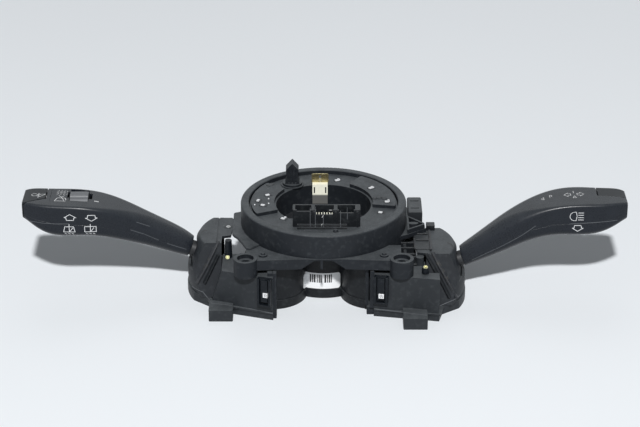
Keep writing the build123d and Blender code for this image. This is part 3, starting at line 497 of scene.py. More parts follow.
def skin_tree(names: list[str]) -> BVHTree:
    """Return a search tree over the surfaces of some CAD nodes.

    Args:
        names: The nodes.

    Returns:
        The tree.
    """
    points: list[Vector] = []
    faces: list[list[int]] = []
    for name in names:
        mesh = FRAME["nodes"][name].data
        base = len(points)
        points += [vertex.co.copy() for vertex in mesh.vertices]
        faces += [[base + index for index in face.vertices] for face in mesh.polygons]
    return BVHTree.FromPolygons(points, faces)


@dataclass(frozen=True)
class Sheet:
    """A flat drawing board in space from which marks are thrown onto a surface."""

    origin: Vector
    right: Vector
    up: Vector
    throw: Vector
    lift_mm: float = 0.04

    def land(self, tree: BVHTree, place: Point) -> Vector | None:
        """Throw one point of the board onto the surface.

        Args:
            tree: The surface.
            place: The point on the board in millimetres.

        Returns:
            The point just above the surface, or None where there is none.
        """
        start = self.origin + (self.right * place[0] + self.up * place[1]) * MM
        hit, normal, _, _ = tree.ray_cast(start, self.throw)
        if hit is None:
            return None
        outward = normal if normal.dot(self.throw) < 0 else -normal
        return hit + outward * self.lift_mm * MM


BOARD_AWAY = 0.12  # metres from the origin to a straight board
SLANTED_AWAY = 0.3  # metres from the rim's height on the ring's axis to a slanted board
RIM_HEIGHT = 0.06


def front_sheet(x: float = 0.0, z: float = 0.0, lift_mm: float = 0.04) -> Sheet:
    """Return a board in front of the switch, its middle in millimetres, that throws marks straight back."""
    middle = Vector((x * MM, -BOARD_AWAY, z * MM))
    return Sheet(middle, Vector((1, 0, 0)), Vector((0, 0, 1)), Vector((0, 1, 0)), lift_mm)


def top_sheet(x: float, y: float) -> Sheet:
    """Return a board above the switch, its middle in millimetres, that drops marks straight down."""
    return Sheet(Vector((x * MM, y * MM, BOARD_AWAY)), Vector((1, 0, 0)), Vector((0, 1, 0)), Vector((0, 0, -1)))


def slanted_sheet(lift_mm: float) -> Sheet:
    """Return a board in front of the switch that looks down on it at the camera's slope.

    Args:
        lift_mm: How far marks stand off the surface.

    Returns:
        The board, its middle over the ring's axis at rim height.
    """
    tilt = math.radians(SLOPE)
    throw = Vector((0, math.cos(tilt), -math.sin(tilt)))
    middle = Vector((0, 0, RIM_HEIGHT)) - throw * SLANTED_AWAY
    return Sheet(middle, Vector((1, 0, 0)), Vector((0, math.sin(tilt), math.cos(tilt))), throw, lift_mm)


STEP_MM = 0.45  # size of the quads that marks are laid in
END_MM = 0.3  # how far a band runs on past its ends, at most
WELD = 0.00001  # distance within which corners become one


@dataclass(frozen=True)
class Stroke:
    """A drawn line with a width; closed lines join their ends."""

    points: tuple[Point, ...]
    width: float
    closed: bool = False


def fill(low: Point, high: Point) -> Stroke:
    """Return the rectangle between two corners, filled, as one wide stroke."""
    middle = (low[1] + high[1]) / 2
    return Stroke(((low[0] + END_MM, middle), (high[0] - END_MM, middle)), high[1] - low[1])


def arc(middle: Point, radius: float, start: float, stop: float, steps: int = 8) -> tuple[Point, ...]:
    """Return points along an arc, its angles in degrees."""
    turn = [math.radians(start + (stop - start) * k / steps) for k in range(steps + 1)]
    return tuple((middle[0] + radius * math.cos(a), middle[1] + radius * math.sin(a)) for a in turn)


def draw(name: str, marks: list[Stroke], sheet: Sheet, tree: BVHTree) -> Mesh:
    """Draw marks on a surface as thin faces that follow it.

    Args:
        name: The mesh's name.
        marks: Lines on the board.
        sheet: The board.
        tree: The surface.

    Returns:
        The mesh.
    """
    form = bmesh.new()

    def strip(start: Point, stop: Point, half: float) -> None:
        """Lay one straight band of quads.

        Args:
            start: Its start on the board.
            stop: Its end.
            half: Half its width.
        """
        run = Vector((stop[0] - start[0], stop[1] - start[1]))
        if run.length == 0:
            return
        side = Vector((-run.y, run.x)).normalized() * half
        along = run.normalized() * min(half, END_MM)
        pieces = max(1, math.ceil(run.length / STEP_MM))
        across = max(1, math.ceil(2 * half / STEP_MM))
        rows = []
        for k in range(pieces + 1):
            centre = Vector(start) - along + (run + 2 * along) * (k / pieces)
            rows.append([sheet.land(tree, tuple(centre + side * (2 * j / across - 1))) for j in range(across + 1)])
        for near, far in zip(rows, rows[1:]):
            for j in range(across):
                corners = [near[j], near[j + 1], far[j + 1], far[j]]
                if all(corner is not None for corner in corners):
                    face = form.faces.new([form.verts.new(corner) for corner in corners])
                    face.normal_update()
                    if face.normal.dot(sheet.throw) > 0:
                        face.normal_flip()

    for mark in marks:
        ends = list(mark.points) + ([mark.points[0]] if mark.closed else [])
        for start, stop in zip(ends, ends[1:]):
            strip(start, stop, mark.width / 2)
    bmesh.ops.remove_doubles(form, verts=form.verts, dist=WELD)
    return made_of(form, name)


@dataclass(frozen=True)
class Repeat:
    """Base of the patterns: a node tree that sets one small form on every point of a mesh."""

    name: str

    def form(self, tree: bpy.types.NodeTree, inputs: bpy.types.Node) -> Socket:
        """Add the nodes of the repeated form and return its geometry socket."""
        raise NotImplementedError

    def sizes(self) -> dict[str, float]:
        """Return the named sizes of the form, in metres."""
        raise NotImplementedError

    def grow(self) -> tuple[bpy.types.NodeTree, dict[str, str]]:
        """Build the tree.

        Returns:
            The tree, and the identifier of each named input.
        """
        tree = bpy.data.node_groups.new(self.name, "GeometryNodeTree")
        tree.is_modifier = True
        face = tree.interface
        for way in ("INPUT", "OUTPUT"):
            face.new_socket("Geometry", in_out=way, socket_type="NodeSocketGeometry")
        known = {}
        for label in ("Material", *self.sizes()):
            kind = "NodeSocketMaterial" if label == "Material" else "NodeSocketFloat"
            known[label] = face.new_socket(label, in_out="INPUT", socket_type=kind).identifier
        inputs = node(tree, "NodeGroupInput")
        aim = node(tree, "GeometryNodeInputNamedAttribute", {"Name": "aim"}, data_type="FLOAT_VECTOR")
        spin = node(tree, "GeometryNodeInputNamedAttribute", {"Name": "spin"}, data_type="FLOAT")
        turn = node(tree, "FunctionNodeAlignRotationToVector", {"Vector": aim}, axis="Z")
        about = node(tree, "FunctionNodeAxisAngleToRotation", {"Axis": (0.0, 0.0, 1.0), "Angle": spin})
        feeds = {"Rotation": turn, "Rotate By": about}
        both = node(tree, "FunctionNodeRotateRotation", feeds, rotation_space="LOCAL")
        feeds = {"Points": inputs.outputs["Geometry"], "Instance": self.form(tree, inputs), "Rotation": both}
        put = node(tree, "GeometryNodeInstanceOnPoints", feeds)
        solid = node(tree, "GeometryNodeRealizeInstances", {"Geometry": put})
        feeds = {"Geometry": solid, "Material": inputs.outputs["Material"]}
        node(tree, "NodeGroupOutput", {"Geometry": node(tree, "GeometryNodeSetMaterial", feeds)})
        return tree, known

    def mesh(self, spots: list["Spot"], finish: Finish) -> Mesh:
        """Set the form on every spot and return one plain mesh, its places in its vertices.

        Args:
            spots: Where the forms stand.
            finish: Their finish.

        Returns:
            The mesh.
        """
        base = bpy.data.meshes.new(self.name)
        base.from_pydata([tuple(c * MM for c in spot.at_mm) for spot in spots], [], [])
        base.attributes.new("aim", "FLOAT_VECTOR", "POINT")
        base.attributes.new("spin", "FLOAT", "POINT")
        for k, spot in enumerate(spots):
            base.attributes["aim"].data[k].vector = spot.aim
            base.attributes["spin"].data[k].value = math.radians(spot.spin)
        holder = bpy.data.objects.new(self.name, base)
        bpy.context.scene.collection.objects.link(holder)
        tree, known = self.grow()
        repeat = holder.modifiers.new("repeat", "NODES")
        repeat.node_group = tree
        repeat[known["Material"]] = PAINTS.get(finish)
        for label, value in self.sizes().items():
            repeat[known[label]] = value * MM
        seen = holder.evaluated_get(bpy.context.evaluated_depsgraph_get())
        mesh = bpy.data.meshes.new_from_object(seen)
        mesh.name = self.name
        holder.modifiers.clear()
        bpy.data.objects.remove(holder)
        return mesh


@dataclass(frozen=True)
class Spot:
    """A place for a repeated form: its foot in millimetres, the way its axis points and its turn in degrees."""

    at_mm: Place
    aim: Place = (0.0, 0.0, 1.0)
    spin: float = 0.0


@dataclass(frozen=True)
class Screws(Repeat):
    """Round screw heads with a sunk socket."""

    radius: float
    rise: float
    socket_share: float = 0.5
    socket_depth: float = 0.6

    def sizes(self) -> dict[str, float]:
        """Return the named sizes."""
        return {"Radius": self.radius, "Rise": self.rise}

    def form(self, tree: bpy.types.NodeTree, inputs: bpy.types.Node) -> Socket:
        """Make a short cylinder and sink the middle of its top face.

        Args:
            tree: The tree.
            inputs: Its input node.

        Returns:
            The form's geometry.
        """
        rise = inputs.outputs["Rise"]
        feeds = {"Vertices": 24, "Radius": inputs.outputs["Radius"], "Depth": rise}
        head = node(tree, "GeometryNodeMeshCylinder", feeds).outputs
        feeds = {"Mesh": head["Mesh"], "Selection": head["Top"], "Offset Scale": 0.0, "Individual": False}
        inset = node(tree, "GeometryNodeExtrudeMesh", feeds).outputs
        feeds = {"Geometry": inset["Mesh"], "Selection": inset["Top"], "Scale": self.socket_share}
        shrunk = node(tree, "GeometryNodeScaleElements", feeds)
        depth = node(tree, "ShaderNodeMath", {0: rise, 1: -self.socket_depth}, operation="MULTIPLY")
        feeds = {"Mesh": shrunk, "Selection": inset["Top"], "Offset Scale": depth, "Individual": False}
        return node(tree, "GeometryNodeExtrudeMesh", feeds).outputs["Mesh"]


@dataclass(frozen=True)
class Blocks(Repeat):
    """Small straight-sided blocks, such as contact pins, clip ends and the dark sheets painted as shade in their
    windows.
    """

    length: float
    width: float
    rise: float

    def sizes(self) -> dict[str, float]:
        """Return the named sizes."""
        return {"Length": self.length, "Width": self.width, "Rise": self.rise}

    def form(self, tree: bpy.types.NodeTree, inputs: bpy.types.Node) -> Socket:
        """Make a block whose middle is on the spot."""
        sides = {axis: inputs.outputs[label] for axis, label in (("X", "Length"), ("Y", "Width"), ("Z", "Rise"))}
        return node(tree, "GeometryNodeMeshCube", {"Size": node(tree, "ShaderNodeCombineXYZ", sides)}).outputs["Mesh"]


@dataclass(frozen=True)
class Tapers(Repeat):
    """Round studs, posts, low rings and dots that taper a little to the top."""

    radius: float
    top: float
    rise: float

    def sizes(self) -> dict[str, float]:
        """Return the named sizes."""
        return {"Radius": self.radius, "Top radius": self.top, "Rise": self.rise}

    def form(self, tree: bpy.types.NodeTree, inputs: bpy.types.Node) -> Socket:
        """Make a truncated cone that stands on the spot.

        Args:
            tree: The tree.
            inputs: Its input node.

        Returns:
            The form's geometry.
        """
        links = (("Radius Bottom", "Radius"), ("Radius Top", "Top radius"), ("Depth", "Rise"))
        feeds = {"Vertices": 32} | {entry: inputs.outputs[label] for entry, label in links}
        return node(tree, "GeometryNodeMeshCone", feeds).outputs["Mesh"]


def loft(form: bmesh.types.BMesh, rows: list[list[bmesh.types.BMVert]]) -> None:
    """Close rows of corners into one form.

    Args:
        form: The form under construction.
        rows: The rows, all of one length.
    """
    count = len(rows[0])
    form.faces.new(rows[0][::-1])
    form.faces.new(rows[-1])
    for near, far in zip(rows, rows[1:]):
        for k in range(count):
            form.faces.new([near[k], near[(k + 1) % count], far[(k + 1) % count], far[k]])


def bar_mesh(name: str, route: list[Place], half_mm: Point, bevel_mm: float) -> Mesh:
    """Make a bar of oblong section along a route.

    Args:
        name: The mesh's name.
        route: Points in millimetres.
        half_mm: Half the bar's size across and up.
        bevel_mm: Width of the bevel on its edges.

    Returns:
        The mesh, closed and facing outwards.
    """
    form = bmesh.new()
    rows = []
    points = [Vector(place) * MM for place in route]
    for k, place in enumerate(points):
        ahead = (points[min(k + 1, len(points) - 1)] - points[max(k - 1, 0)]).normalized()
        side = ahead.cross(Vector((0, 0, 1))).normalized() * half_mm[0] * MM
        up = side.cross(ahead).normalized() * half_mm[1] * MM
        rows.append([form.verts.new(place + a * side + b * up) for a, b in ((-1, -1), (1, -1), (1, 1), (-1, 1))])
    loft(form, rows)
    return bevelled(form, name, bevel_mm)


@dataclass(frozen=True)
class Prism:
    """An upright prism: its outline in plan and its two heights, in millimetres."""

    outline: tuple[Point, ...]
    low: float
    high: float


def box(left: float, right: float, front: float, back: float, low: float, high: float) -> Prism:
    """Return a box from its six sides."""
    return Prism(((left, front), (right, front), (right, back), (left, back)), low, high)


def prism_mesh(name: str, prisms: tuple[Prism, ...], bevel_mm: float) -> Mesh:
    """Make one mesh of some closed prisms with bevelled edges.

    Args:
        name: The mesh's name.
        prisms: The prisms.
        bevel_mm: Width of the bevels.

    Returns:
        The mesh, facing outwards.
    """
    form = bmesh.new()
    for prism in prisms:
        ends = (prism.low, prism.high)
        loft(form, [[form.verts.new((x * MM, y * MM, z * MM)) for x, y in prism.outline] for z in ends])
    return bevelled(form, name, bevel_mm)


# ---------------------------------------------------------------- sub-assemblies


@dataclass(frozen=True)
class SubAssembly:
    """Base of the sub-assemblies: the CAD nodes that it dresses and the body of its added pieces."""

    nodes: tuple[str, ...]
    body: str
    own: tuple[tuple[str, Finish], ...]

    def dress(self) -> None:
        """Lay each node's record finish on it, or the one that this sub-assembly names."""
        by_slot = {finish.value.name: finish for finish in Finish}
        slots = {part["node"]: part["material_slot"] for part in FRAME["record"]["subparts"]}
        named = dict(self.own)
        for name in self.nodes:
            PAINTS.dress(FRAME["nodes"][name], named.get(name, by_slot[slots[name]]))

    def add(self, name: str, mesh: Mesh, finish: Finish, slot: str = "") -> None:
        """Add one finished piece on this sub-assembly's body."""
        add_piece(name, mesh, self.body, finish)

    def set_out(self, pattern: Repeat, spots: list[Spot], finish: Finish, slot: str = "") -> None:
        """Repeat a form over some spots as one piece."""
        self.add(pattern.name, pattern.mesh(spots, finish), finish, slot)

    def mark(self, name: str, marks: list[Stroke], sheet: Sheet, tree: BVHTree, finish: Finish, slot: str) -> None:
        """Draw marks onto a surface as one piece."""
        self.add(name, draw(name, marks, sheet, tree), finish, slot)


@dataclass(frozen=True)
class ClockSpring(SubAssembly):
    """Rotor of the clock spring with its pads, peg, socket block and contacts."""

    plate_z: float = 57.0
    pad_z: float = 59.5
    socket_floor_z: float = 60.6
    socket_y: float = -31.75
    # lines of painted highlight on the socket block, standing in for light caught along it
    highlight_lines: Lines = (
        ((-9.1, -5.2), (-9.1, -17.8)), ((-5.6, -4.5), (-5.6, -18.5)), ((-0.2, -8.0), (-0.2, -18.5)),
        ((11.5, -7.3), (11.5, -18.5)), ((16.1, -5.2), (16.1, -12.9)),
    )
    tags: Lines = (
        ((4.0, -6.8), (5.5, -6.8)), ((4.0, -9.3), (6.1, -9.4)),
        ((-1.0, -11.8), (-0.2, -10.4)), ((-1.6, -17.4), (-1.0, -16.2)),
    )

    def build(self) -> None:
        """Dress the rotor and add its clips, pins, rings and grommet, and the painted highlight lines and tags on the
        socket block.
        """
        self.dress()
        self.add_clips()
        self.add_pins()
        self.add_rings()
        tree = skin_tree(["socket_block"])
        # The first set is painted highlight in the edge-highlight plastic; the second is print.
        for name, paths, finish in (
            ("socket_painted_highlights", self.highlight_lines, Finish.EDGE_HIGHLIGHT), ("socket_tags", self.tags, Finish.PRINT),
        ):
            marks = [Stroke(path, 0.35) for path in paths]
            self.mark(name, marks, slanted_sheet(0.05), tree, finish, "black_plastic")

    def add_clips(self) -> None:
        """Add dark sheets painted as the shade in the clip windows, white clip ends in all but the last of them, feet
        beside four, and three dots.
        """
        spots = (
            ((-38.8, 9.6), 25.0, self.pad_z), ((-41.6, -7.0), -20.0, self.pad_z), ((-45.0, 0.6), 70.0, self.pad_z),
            ((33.6, 21.4), 35.0, self.pad_z), ((44.3, -1.4), 5.0, self.pad_z), ((10.0, 40.0), 20.0, self.plate_z),
            ((-27.4, -23.6), -30.0, self.plate_z), ((39.6, -13.6), -12.0, self.plate_z),
            ((-37.6, 27.2), 40.0, self.pad_z),
        )
        with_end, with_foot = spots[:8], spots[3:7]
        # painted shade: thin black blocks on the pads stand in for the dark recesses of the clip windows
        window_shades = [Spot((x, y, z + 0.12), spin=turn) for (x, y), turn, z in spots]
        ends = [Spot((x - 0.4, y - 0.6, z + 0.45), spin=turn) for (x, y), turn, z in with_end]
        feet = [Spot((x + 0.9, y + 0.7, z + 0.45), spin=turn + 90.0) for (x, y), turn, z in with_foot]
        dots = [Spot((x, y, self.pad_z + 0.2)) for x, y in ((-38.2, 3.0), (-38.0, -4.6), (-47.6, -6.8))]
        self.set_out(Blocks("clip_window_shades", 5.2, 3.4, 0.24), window_shades, Finish.BLACK)
        for pattern, places in (
            (Blocks("clip_ends", 2.7, 1.7, 0.9), ends),
            (Blocks("clip_feet", 2.4, 1.3, 0.9), feet),
            (Tapers("pad_dots", 0.6, 0.4, 0.5), dots),
        ):
            self.set_out(pattern, places, Finish.WHITE, "inner_plastic")

    def add_pins(self) -> None:
        """Add the contact pins in the three sockets."""
        spots = [
            Spot((middle + 1.8 * column, self.socket_y + 2.2 * row, self.socket_floor_z + 2.2))
            for middle, half in ((-13.8, 2), (0.5, 3), (15.5, 2))
            for column in range(-half, half + 1)
            for row in (-0.5, 0.5)
        ]
        self.set_out(Blocks("socket_pins", 0.64, 0.64, 4.6), spots, Finish.TIN, "brass")

    def add_rings(self) -> None:
        """Add the low rings on a pad with dark discs painted as the shade in their hollows, and the grommet at the
        socket block's foot.
        """
        rings = ((42.2, 4.3), (35.6, 4.8), (39.0, 5.2))
        for pattern, lift, finish in (
            (Tapers("pad_rings", 2.2, 1.9, 0.5), 0.0, Finish.CHARCOAL),
            # painted shade: flat black discs on the rings' tops stand in for their hollows
            (Tapers("pad_ring_hollow_shades", 1.4, 1.3, 0.06), 0.5, Finish.BLACK),
        ):
            self.set_out(pattern, [Spot((x, y, self.pad_z + lift)) for x, y in rings], finish)
        grommet = Spot((8.2, -43.6, self.plate_z))
        self.set_out(Tapers("grommet", 1.9, 1.3, 1.4), [grommet], Finish.CHARCOAL, "black_plastic")


@dataclass(frozen=True)
class SensorBody(SubAssembly):
    """Fixed middle of the switch: collar, sensor body with its label, carrier with its studs, connector."""

    label_low: Point = (-13.9, 6.9)
    label_high: Point = (11.6, 18.9)
    label_corner: float = 1.8
    bar_heights: Point = (11.6, 17.8)
    bars: tuple[Point, ...] = (
        (-9.4, 0.9), (-7.7, 0.4), (-6.7, 1.2), (-4.6, 0.5), (-3.4, 0.9), (-1.9, 0.4), (-0.8, 0.6), (0.6, 1.3),
        (2.6, 0.5), (3.7, 1.0), (5.2, 0.5),
    )
    rails: tuple[Prism, ...] = (
        box(-34.6, -31.9, -62.0, -46.0, 0.0, 34.6), box(-38.0, -34.4, -61.4, -57.0, 31.0, 34.6),
        box(29.4, 34.4, -56.0, -44.0, 0.0, 6.2), box(28.4, 30.6, -54.6, -44.0, 6.0, 34.6),
        box(31.6, 34.4, -58.4, -46.0, 6.0, 34.6),
    )
    wing: Prism = Prism(
        (
            (-50.0, -44.0), (-52.5, -43.0), (-55.5, -35.0), (-59.0, -27.0), (-62.0, -22.5), (-63.0, -20.0),
            (-63.0, 14.0), (-54.0, 18.0), *arc((0.0, 0.0), 53.6, 160.0, 220.0),
        ),
        42.3, 44.0,
    )
    roof_plate: tuple[Prism, ...] = (
        box(62.6, 73.0, -36.4, -9.0, 39.5, 40.3), box(71.5, 77.4, -6.2, -0.4, 39.5, 43.6),
        box(66.0, 70.6, -5.0, -0.4, 39.5, 42.0), box(63.4, 72.2, -14.4, -13.4, 40.2, 41.4),
        box(63.4, 72.2, -24.0, -23.0, 40.2, 41.2),
    )
    roof_ledge: tuple[Prism, ...] = (
        box(72.6, 74.2, -37.6, -7.4, 39.5, 41.3), box(61.9, 63.0, -36.0, -20.0, 39.4, 41.0),
    )
    slot_cover: tuple[Prism, ...] = (
        box(44.0, 63.6, -46.0, -4.0, 31.8, 33.6), box(46.0, 62.6, -45.0, -43.8, 33.4, 38.6),
        box(47.0, 62.6, -38.0, -36.6, 33.4, 37.4), box(47.0, 62.6, -30.0, -28.8, 33.4, 38.2),
        box(47.0, 62.6, -21.0, -19.6, 33.4, 37.6), box(55.0, 57.0, -44.0, -20.0, 33.4, 36.4),
    )

    def build(self) -> None:
        """Dress the middle and add the label, studs, collar screws, rails, plates and ledge."""
        self.dress()
        self.add_label()
        studs = [Spot((side * 41.0, -52.5, 44.2)) for side in (-1, 1)]
        self.set_out(Tapers("carrier_studs", 1.7, 1.3, 1.1), studs, Finish.CHARCOAL)
        turned = [math.radians(30 + 120 * k) for k in range(3)]
        spots = [Spot((26.5 * math.cos(a), 26.5 * math.sin(a), 7.1)) for a in turned]
        self.set_out(Screws("collar_screws", 2.5, 1.4), spots, Finish.STEEL)
        for name, prisms, bevel, finish, slot in (
            ("side_rails", self.rails, 0.3, Finish.CHARCOAL, ""),
            ("wing_plate", (self.wing,), 0.4, Finish.CHARCOAL, ""),
            ("slot_cover", self.slot_cover, 0.3, Finish.BLACK, ""),
            ("roof_plate", self.roof_plate, 0.2, Finish.BLACK, ""),
            ("roof_ledge", self.roof_ledge, 0.3, Finish.DUSTY, "charcoal_plastic"),
        ):
            self.add(name, prism_mesh(name, prisms, bevel), finish, slot)

    def add_label(self) -> None:
        """Lay the blank label with its rounded corners and its plain bars on the drum."""
        tree = skin_tree(["sensor_housing"])
        (left, low), (right, high), corner = self.label_low, self.label_high, self.label_corner
        marks = [fill((left, low + corner), (right, high - corner))]
        steps = 5
        for k in range(steps):
            near = corner * (1 - math.sqrt(1 - ((steps - k - 0.5) / steps) ** 2))
            rise = corner * k / steps
            for bottom in (low + rise, high - rise - corner / steps):
                marks.append(fill((left + near, bottom), (right - near, bottom + corner / steps)))
        self.mark("drum_label", marks, front_sheet(lift_mm=0.06), tree, Finish.PAPER, "charcoal_plastic")
        foot, head = self.bar_heights
        bars = [fill((x, foot), (x + width, head)) for x, width in self.bars]
        self.mark("drum_label_bars", bars, front_sheet(lift_mm=0.12), tree, Finish.INK, "charcoal_plastic")


@dataclass(frozen=True, kw_only=True)
class SwitchBlock(SubAssembly):
    """One switch unit: housing, cover, latch and gimbal, with its screws, post, code square and dusty flange."""

    unit: str
    square: Point
    square_half: float = 1.75
    roof_screw: Place | None = None
    face_screw: Place
    face_screw_aim: Place = (0.0, -0.5, 0.8)
    post: Tapers
    post_at: Place
    flange: tuple[Point, ...]
    rib_shift: float = 4.6
    lip: tuple[Point, ...]
    tray_edge: tuple[Point, ...]
    # paths along each notch, where dark strokes are laid as painted shade
    notch_shades: Lines

    def build(self) -> None:
        """Dress the unit and add its small pieces."""
        self.dress()
        self.add_square()
        screw = Spot(self.face_screw, self.face_screw_aim)
        self.set_out(Screws(f"{self.unit}_face_screw", 1.45, 1.3), [screw], Finish.SCREW, "brass")
        if self.roof_screw is not None:
            spot = Spot(self.roof_screw)
            # painted shade: a flat black disc under the roof screw stands in for its recess
            self.set_out(Tapers(f"{self.unit}_roof_screw_recess_shade", 3.0, 2.9, 0.12), [spot], Finish.BLACK)
            self.set_out(Screws(f"{self.unit}_roof_screw", 1.5, 0.7), [spot], Finish.STEEL)
        self.set_out(self.post, [Spot(self.post_at)], Finish.LATCH, "charcoal_plastic")
        self.add_flange()

    def add_flange(self) -> None:
        """Add the dusty flange down the cover with its rib, painted highlight lines along the lip and tray edges, and
        painted shade in each notch.
        """
        tree = skin_tree([f"{self.unit}_{kind}" for kind in ("cover", "housing", "base", "shield")])
        for kind, shift, lift, finish in (
            ("flange", 0.0, 0.8, Finish.DUSTY), ("flange_rib", self.rib_shift, 0.5, Finish.BLACK),
        ):
            landed = [slanted_sheet(lift).land(tree, (x + shift, height)) for x, height in self.flange]
            route = [tuple(place / MM) for place in landed if place is not None]
            name = f"{self.unit}_{kind}"
            self.add(name, bar_mesh(name, route, (1.4, 0.8), 0.3), finish, "charcoal_plastic")
        # painted highlight: lighter lines along the lip and tray edges, standing in for light caught by them
        edge_marks = [Stroke(self.lip, 0.45), Stroke(self.tray_edge, 0.4)]
        # painted shade: dark strokes in the inner plastic stand in for each notch's recess
        shade_strokes = [Stroke(notch, 0.9) for notch in self.notch_shades]
        for kind, marks, lift, finish in (
            ("lip_painted_highlight", edge_marks, 0.08, Finish.EDGE_HIGHLIGHT), ("notch_shades", shade_strokes, 0.06, Finish.INNER),
        ):
            self.mark(f"{self.unit}_{kind}", marks, slanted_sheet(lift), tree, finish, "charcoal_plastic")

    def add_square(self) -> None:
        """Lay the small white square and its grey cells on the latch."""
        tree = skin_tree([f"{self.unit}_latch"])
        (x, z), half = self.square, self.square_half
        cells = (
            (-0.9, 0.9), (0.3, 0.9), (-0.3, 0.3), (0.9, 0.3), (-0.9, -0.3), (0.3, -0.3), (-0.3, -0.9), (0.9, -0.9),
        )
        whole = [fill((x - half, z - half), (x + half, z + half))]
        marks = [Stroke(((x + a - 0.02, z + b), (x + a + 0.02, z + b)), 0.6) for a, b in cells]
        name = f"{self.unit}_latch_square"
        self.mark(name, whole, front_sheet(lift_mm=0.05), tree, Finish.PAPER, "black_plastic")
        self.mark(f"{name}_cells", marks, front_sheet(lift_mm=0.1), tree, Finish.CELLS, "black_plastic")


def unit_nodes(unit: str) -> tuple[str, ...]:
    """Return the CAD nodes of one switch unit's block."""
    kinds = "base housing board latch cover shield yoke cross_pin lever plunger spring".split()
    return tuple(f"{unit}_{kind}" for kind in kinds)


def block_finishes(unit: str) -> tuple[tuple[str, Finish], ...]:
    """Return the finishes of one unit's block that differ from the record's."""
    return ((f"{unit}_latch", Finish.LATCH), (f"{unit}_housing", Finish.PALE), (f"{unit}_base", Finish.PALE))
CLOCK_SPRING = ClockSpring(
    ("rotor", "driver_peg", "socket_block", "contact_clip", "contact_tongue", "code_ring"), "clock_spring_rotor",
    own=(("contact_tongue", Finish.TIN),),
)
SENSOR_BODY = SensorBody(
    (
        "column_collar", "sensor_housing", "sensor_lid", "sensor_board", "carrier", "stator_housing", "ribbon_coil",
        "vehicle_connector",
    ),
    "column_unit", own=(("vehicle_connector", Finish.PALE),),
)
WIPER_BLOCK = SwitchBlock(
    unit_nodes("wiper"), "column_unit", own=block_finishes("wiper"), unit="wiper", square=(-39.3, 19.6),
    roof_screw=(-66.2, -5.0, 42.0), face_screw=(-65.8, -34.6, 32.8), face_screw_aim=(0.0, -0.6, 0.8),
    post=Tapers("wiper_post", 2.6, 2.3, 13.0), post_at=(-65.2, -31.4, 31.6),
    flange=((-72.3, -28.6), (-76.7, -37.3), (-81.5, -47.0), (-86.5, -57.1)),
    lip=((-76.0, -70.6), (-67.9, -71.1), (-51.2, -73.7), (-33.4, -77.2)),
    tray_edge=((-91.6, -59.4), (-87.5, -61.3), (-82.9, -63.1), (-79.8, -67.0), (-76.0, -70.5)),
    notch_shades=(((-84.5, -22.1), (-82.9, -21.0), (-81.0, -21.0)), ((-92.5, -44.4), (-91.9, -46.5), (-90.4, -47.9))),
)
TURN_BLOCK = SwitchBlock(
    unit_nodes("turn"), "column_unit", own=block_finishes("turn"), unit="turn", square=(39.0, 17.2),
    face_screw=(68.9, -57.4, 36.6), post=Tapers("turn_post", 2.6, 2.4, 4.0), post_at=(68.9, -56.8, 32.6),
    flange=((74.4, -36.2), (80.1, -46.7), (85.7, -56.8), (90.7, -66.6)),
    lip=((28.1, -50.2), (28.1, -70.4), (30.7, -73.7), (49.8, -75.7), (69.3, -77.8)),
    tray_edge=((93.4, -65.2), (90.9, -67.2), (84.7, -69.8), (78.8, -72.4)), rib_shift=-4.6,
    notch_shades=(((85.5, -29.3), (87.9, -30.6), (89.3, -32.8)), ((94.8, -50.1), (94.3, -53.0), (92.6, -55.5))),
)
STALK_NODES = {
    "wiper": (
        "wiper_stalk_upper", "wiper_stalk_lower", "wiper_end_button", "thumbwheel", "wheel_axle", "sensor_button",
    ),
    "turn": ("turn_stalk_upper", "turn_stalk_lower", "turn_end_button"),
}


# ---------------------------------------------------------------- stalk symbols


